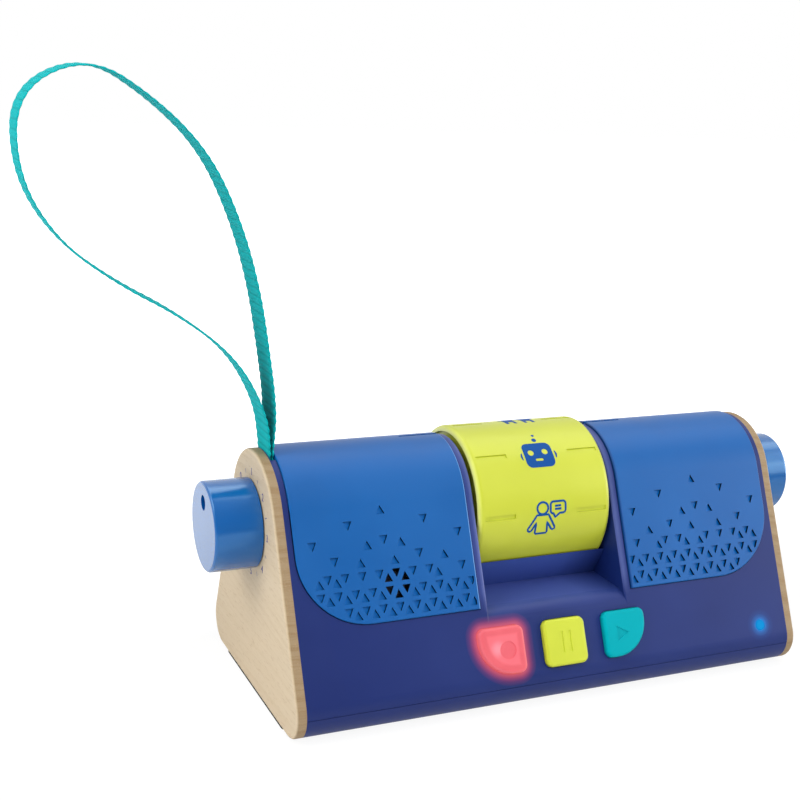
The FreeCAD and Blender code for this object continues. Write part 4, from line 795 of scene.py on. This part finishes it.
def drawnCurve(name, dimensions, strokes):
    curve = bpy.data.curves.new(name, "CURVE")
    curve.dimensions = dimensions
    for points, closed in strokes:
        spline = curve.splines.new("POLY")
        spline.points.add(len(points) - 1)
        for point, (x, u) in zip(spline.points, points):
            point.co = (x, u, 0, 1)
        spline.use_cyclic_u = closed
    piece = bpy.data.objects.new(name, curve)
    scene.collection.objects.link(piece)
    makeActive(piece)
    return piece


def drawnLines(name, strokes, width, height):
    # raised ink: a fine round line pressed flat
    piece = drawnCurve(name, "3D", [(shortSteps(points, closed), closed) for points, closed in strokes])
    piece.data.bevel_depth = width / 2
    piece.data.bevel_resolution = 2
    piece.data.use_fill_caps = True
    bpy.ops.object.convert(target="MESH")
    for vertex in piece.data.vertices:
        vertex.co.z = (vertex.co.z / (width / 2) + 1) * height / 2
    return piece


def drawnFills(name, outlines, height, rows):
    # solid areas: filled outlines cut into narrow rows, so that they can bend, then given their thickness
    piece = drawnCurve(name, "2D", [(outline, True) for outline in outlines])
    piece.data.fill_mode = "BOTH"
    bpy.ops.object.convert(target="MESH")
    bpy.ops.object.mode_set(mode="EDIT")
    for row in rows:
        bpy.ops.mesh.select_all(action="SELECT")
        bpy.ops.mesh.bisect(plane_co=(0, row, 0), plane_no=(0, 1, 0))
    bpy.ops.mesh.select_all(action="SELECT")
    bpy.ops.mesh.extrude_region_move(TRANSFORM_OT_translate={"value": (0, 0, height)})
    bpy.ops.mesh.select_all(action="SELECT")
    bpy.ops.mesh.normals_make_consistent(inside=False)
    bpy.ops.object.mode_set(mode="OBJECT")
    return piece


def joinPieces(name, pieces):
    makeActive(pieces[0])
    for piece in pieces[1:]:
        piece.select_set(True)
    bpy.ops.object.join()
    pieces[0].name = name
    pieces[0].data.name = name
    return pieces[0]


def roundTheDrum(piece):
    for vertex in piece.data.vertices:
        x, u, h = vertex.co
        station = round(x / drumPrint["sheetStep"])
        angle = math.radians(drumPrint["firstStation"] + drumPrint["stationStep"] * station)
        angle += u / drumPrint["radius"]
        radius = drumPrint["radius"] - drumPrint["sunkIn"] + h
        vertex.co = ((x - drumPrint["sheetStep"] * station) * mm,
            (axis["y"] - radius * math.cos(angle)) * mm,
            (axis["z"] + radius * math.sin(angle)) * mm)


drawn = {"loops": [], "lines": [], "filled": []}
for k, icon in enumerate(icons):
    for kind, outlines in icon.items():
        drawn[kind] += [[(x + drumPrint["sheetStep"] * k, u) for x, u in outline] for outline in outlines]
strokes = [(points, True) for points in drawn["loops"]] + [(points, False) for points in drawn["lines"]]
drumIcons = joinPieces("drumPictograms", [
    drawnLines("drumLines", strokes, drumPrint["line"], drumPrint["height"]),
    drawnFills("drumFills", drawn["filled"], drumPrint["height"], [-9 + 1.5 * k for k in range(15)])])
roundTheDrum(drumIcons)
makeActive(drumIcons)
bpy.ops.object.shade_smooth_by_angle(angle=math.radians(40))

# pad printing ink: a thin even film with a slight gloss, thinner in tiny spots
inks = {"padPrintedBlueInk": {"color": "034B96", "thin": "0A5298", "spots": 0.625, "roughness": 0.5},
    "screenPrintedIndigoInk": {"color": "3A3A8C", "thin": "625D94", "spots": 0.625, "roughness": 0.6}}


def printedInk(name):
    recipe = inks[name]
    material, point = newMaterial(name)
    spots, tone = toneNoise(material, point, recipe["spots"], 2.0,
        [(0.3, recipe["thin"]), (0.45, recipe["color"])])
    return finishMaterial(material, {"Base Color": tone, "IOR": 1.5, "Roughness": recipe["roughness"],
        "Specular IOR Level": 0.12}, (spots, 0.1, 0.03 * mm))


drumIcons.data.materials.clear()
drumIcons.data.materials.append(printedInk("padPrintedBlueInk"))
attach(drumIcons, "drum")
print("drum pictograms:", len(drumIcons.data.polygons), "faces")

# numbers round the left knob, 0 at the back and clockwise to 6, with a short dash halfway between two
dial = {"radius": 20.7, "size": 4.3, "weight": 0.02, "height": 0.05, "step": 45.0, "dashFrom": 19.6,
    "dashTo": 21.4, "dashWidth": 0.35, "faceX": -115.0, "sunkIn": 0.01}


def dialNumber(value):
    angle = math.radians(dial["step"] * (value - 1))
    bpy.ops.object.text_add()
    text = bpy.context.object
    text.data.body = str(value)
    text.data.size = dial["size"]
    text.data.align_x = "CENTER"
    text.data.align_y = "CENTER"
    text.data.extrude = dial["height"] / 2
    text.data.offset = dial["weight"]
    makeActive(text)
    bpy.ops.object.convert(target="MESH")
    text.location = (dial["radius"] * math.sin(angle), dial["radius"] * math.cos(angle),
        dial["height"] / 2)
    bpy.ops.object.transform_apply(location=True)
    return text


def dialDash(k):
    angle = math.radians(dial["step"] * (k - 0.5))
    ends = [(r * math.sin(angle), r * math.cos(angle)) for r in (dial["dashFrom"], dial["dashTo"])]
    return drawnLines("dialDash", [(ends, False)], dial["dashWidth"], dial["height"])


dialPrint = joinPieces("dialNumbers",
    [dialNumber(value) for value in range(7)] + [dialDash(k) for k in range(6)])
for vertex in dialPrint.data.vertices:
    a, b, h = vertex.co
    vertex.co = ((dial["faceX"] + dial["sunkIn"] - h) * mm, (axis["y"] - a) * mm,
        (axis["z"] + b) * mm)
dialPrint.data.materials.clear()
dialPrint.data.materials.append(printedInk("screenPrintedIndigoInk"))
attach(dialPrint, "case")
print("dial numbers made")

# silicone domes under the keys, soft cups that fold flat in the real toy as their key goes in: each is
# copied from its node, welded and smoothed
domes = {"joints": {"record_dome": "record_press", "pause_dome": "pause_press",
    "play_dome": "play_press"}, "inward": (0, 0.907973, -0.419028), "keep": 0.25, "weld": 0.01 * mm}

for nodeName, joint in domes["joints"].items():
    cup = bpy.data.objects.new(joint.split("_")[0] + "Cup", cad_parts[nodeName].data.copy())
    scene.collection.objects.link(cup)
    makeActive(cup)
    bpy.ops.object.mode_set(mode="EDIT")
    bpy.ops.mesh.select_all(action="SELECT")
    bpy.ops.mesh.remove_doubles(threshold=domes["weld"])
    bpy.ops.object.mode_set(mode="OBJECT")
    bpy.ops.object.shade_smooth_by_angle(angle=math.radians(40))
    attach(cup, "case")
    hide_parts(nodeName)
    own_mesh(cup)
print("silicone cups made")

# soft studio light: a broad box above, gentle fills, and panels that only show as highlights
lampAim = (0, 0, 0.05)
lamps = {
    "overhead": {"place": (0.1, -0.2, 0.85), "size": (1.3, 0.3), "watts": 2.0, "seenIn": "colour"},
    "backTop": {"place": (0.15, 0.3, 1.0), "size": (1.6, 0.7), "watts": 7.0, "seenIn": "gloss"},
    "topFront": {"place": (0.05, -0.55, 0.8), "size": (0.9, 0.5), "watts": 2.6, "seenIn": "colour"},
    "rightFill": {"place": (0.9, -0.6, 0.5), "size": (0.6, 0.6), "watts": 2.8, "seenIn": "colour"},
    "rightPanel": {"place": (1.15, -0.38, 0.27), "size": (0.8, 0.7), "watts": 8.0, "seenIn": "gloss"},
    "rightHigh": {"place": (0.85, -0.54, 0.85), "size": (0.7, 0.5), "watts": 1.7, "seenIn": "gloss"},
    "rightGloss": {"place": (1.05, -0.95, 0.55), "size": (0.7, 0.6), "watts": 2.8, "seenIn": "gloss"},
    "upperLeft": {"place": (-0.75, -0.05, 0.75), "size": (0.5, 0.5), "watts": 2.8, "seenIn": "both",
        "aim": (0, 0, 0.07)},
    "leftFill": {"place": (-0.98, -0.25, 0.42), "size": (0.6, 0.6), "watts": 2.7, "seenIn": "colour",
        "aim": (-0.1, 0, 0.06)},
    "frontFill": {"place": (0.0, -1.0, 0.3), "size": (0.6, 0.3), "watts": 1.2, "seenIn": "colour"},
}

for lampName, lamp in lamps.items():
    bpy.ops.object.light_add(type="AREA", location=lamp["place"])
    light = bpy.context.object
    light.name = lampName
    light.data.shape = "RECTANGLE"
    light.data.size, light.data.size_y = lamp["size"]
    light.data.energy = lamp["watts"]
    light.visible_glossy = lamp["seenIn"] != "colour"
    light.visible_diffuse = lamp["seenIn"] != "gloss"
    direction = Vector(lamp.get("aim", lampAim)) - Vector(lamp["place"])
    light.rotation_euler = direction.to_track_quat("-Z", "Y").to_euler()

# white tent: plain white to the eye, dim as a light, and in reflections darker on the camera's side
tent = {"light": 0.24, "behind": 1.0, "before": 0.18, "from": -0.55, "to": 0.25}


def whiteTent():
    world = bpy.data.worlds.new("whiteTent")
    world.use_nodes = True
    world.node_tree.nodes.clear()
    ray = addNode(world, "LightPath").outputs
    way = addNode(world, "SeparateXYZ", {"Vector": addNode(world, "TexCoord").outputs["Generated"]})
    behind = addNode(world, "MapRange", {"Value": way.outputs["Y"], "From Min": tent["from"],
        "From Max": tent["to"], "To Min": tent["before"], "To Max": tent["behind"]})
    shiny = addNode(world, "Math MAXIMUM", {0: ray["Is Glossy Ray"], 1: ray["Is Transmission Ray"]})
    unseen = addNode(world, "Mix FLOAT", {0: shiny, 2: tent["light"], 3: behind})
    level = addNode(world, "Mix FLOAT", {0: ray["Is Camera Ray"], 2: unseen, 3: 1.0})
    light = addNode(world, "Background", {"Color": (1, 1, 1, 1), "Strength": level})
    addNode(world, "OutputWorld", {"Surface": light})
    return world


# white paper sweep: away from the toy it goes over into the tent, so that no line shows between them.
# Distances are metres: "glow" and "seen" run from front to back, "fade" outwards from the toy
paper = {"light": "FAFAFA", "dark": "F2F2F2", "mottle": 2.5, "glowFrom": 0.06, "glowTo": 0.2,
    "glow": (1.06, 1.5), "seenFrom": -0.2, "seenTo": 0.1, "seen": 0.06, "fadeFrom": 0.25,
    "fadeTo": 0.6, "fade": 0.86}


def whitePaperSweep():
    material, point = newMaterial("whitePaperSweep")
    ray = addNode(material, "LightPath").outputs
    _, tone = toneNoise(material, point, paper["mottle"], 2.0,
        [(0.0, paper["dark"]), (1.0, paper["light"])])
    matt = addNode(material, "BsdfDiffuse", {"Color": tone})
    back = addNode(material, "SeparateXYZ", {"Vector": point}).outputs["Y"]
    glow = addNode(material, "MapRange", {"Value": back, "From Min": paper["glowFrom"],
        "From Max": paper["glowTo"], "To Min": paper["glow"][0], "To Max": paper["glow"][1]})
    white = addNode(material, "Emission", {"Color": (1, 1, 1, 1), "Strength": glow})
    behind = addNode(material, "MapRange", {"Value": back, "From Min": paper["seenFrom"],
        "From Max": paper["seenTo"], "To Min": paper["seen"]})
    shiny = addNode(material, "Math MAXIMUM", {0: ray["Is Glossy Ray"], 1: ray["Is Transmission Ray"]})
    mirrored = addNode(material, "Math MULTIPLY", {0: shiny, 1: behind})
    seen = addNode(material, "Math MAXIMUM", {0: mirrored, 1: ray["Is Camera Ray"]})
    far = addNode(material, "VectorMath LENGTH", {0: point})
    fade = addNode(material, "MapRange", {"Value": far, "From Min": paper["fadeFrom"],
        "From Max": paper["fadeTo"], "To Min": paper["fade"]})
    share = addNode(material, "Math MULTIPLY", {0: seen, 1: fade})
    return finishMaterial(material, {0: share, 1: matt, 2: white}, kind="MixShader")


scene.world = whiteTent()
bpy.ops.mesh.primitive_plane_add(size=8, location=(0, 0, -0.02 * mm))
floor = bpy.context.object
floor.name = "paleFloor"
bpy.ops.object.transform_apply(location=True)
floor.data.materials.append(whitePaperSweep())
print("lamps and floor in place")
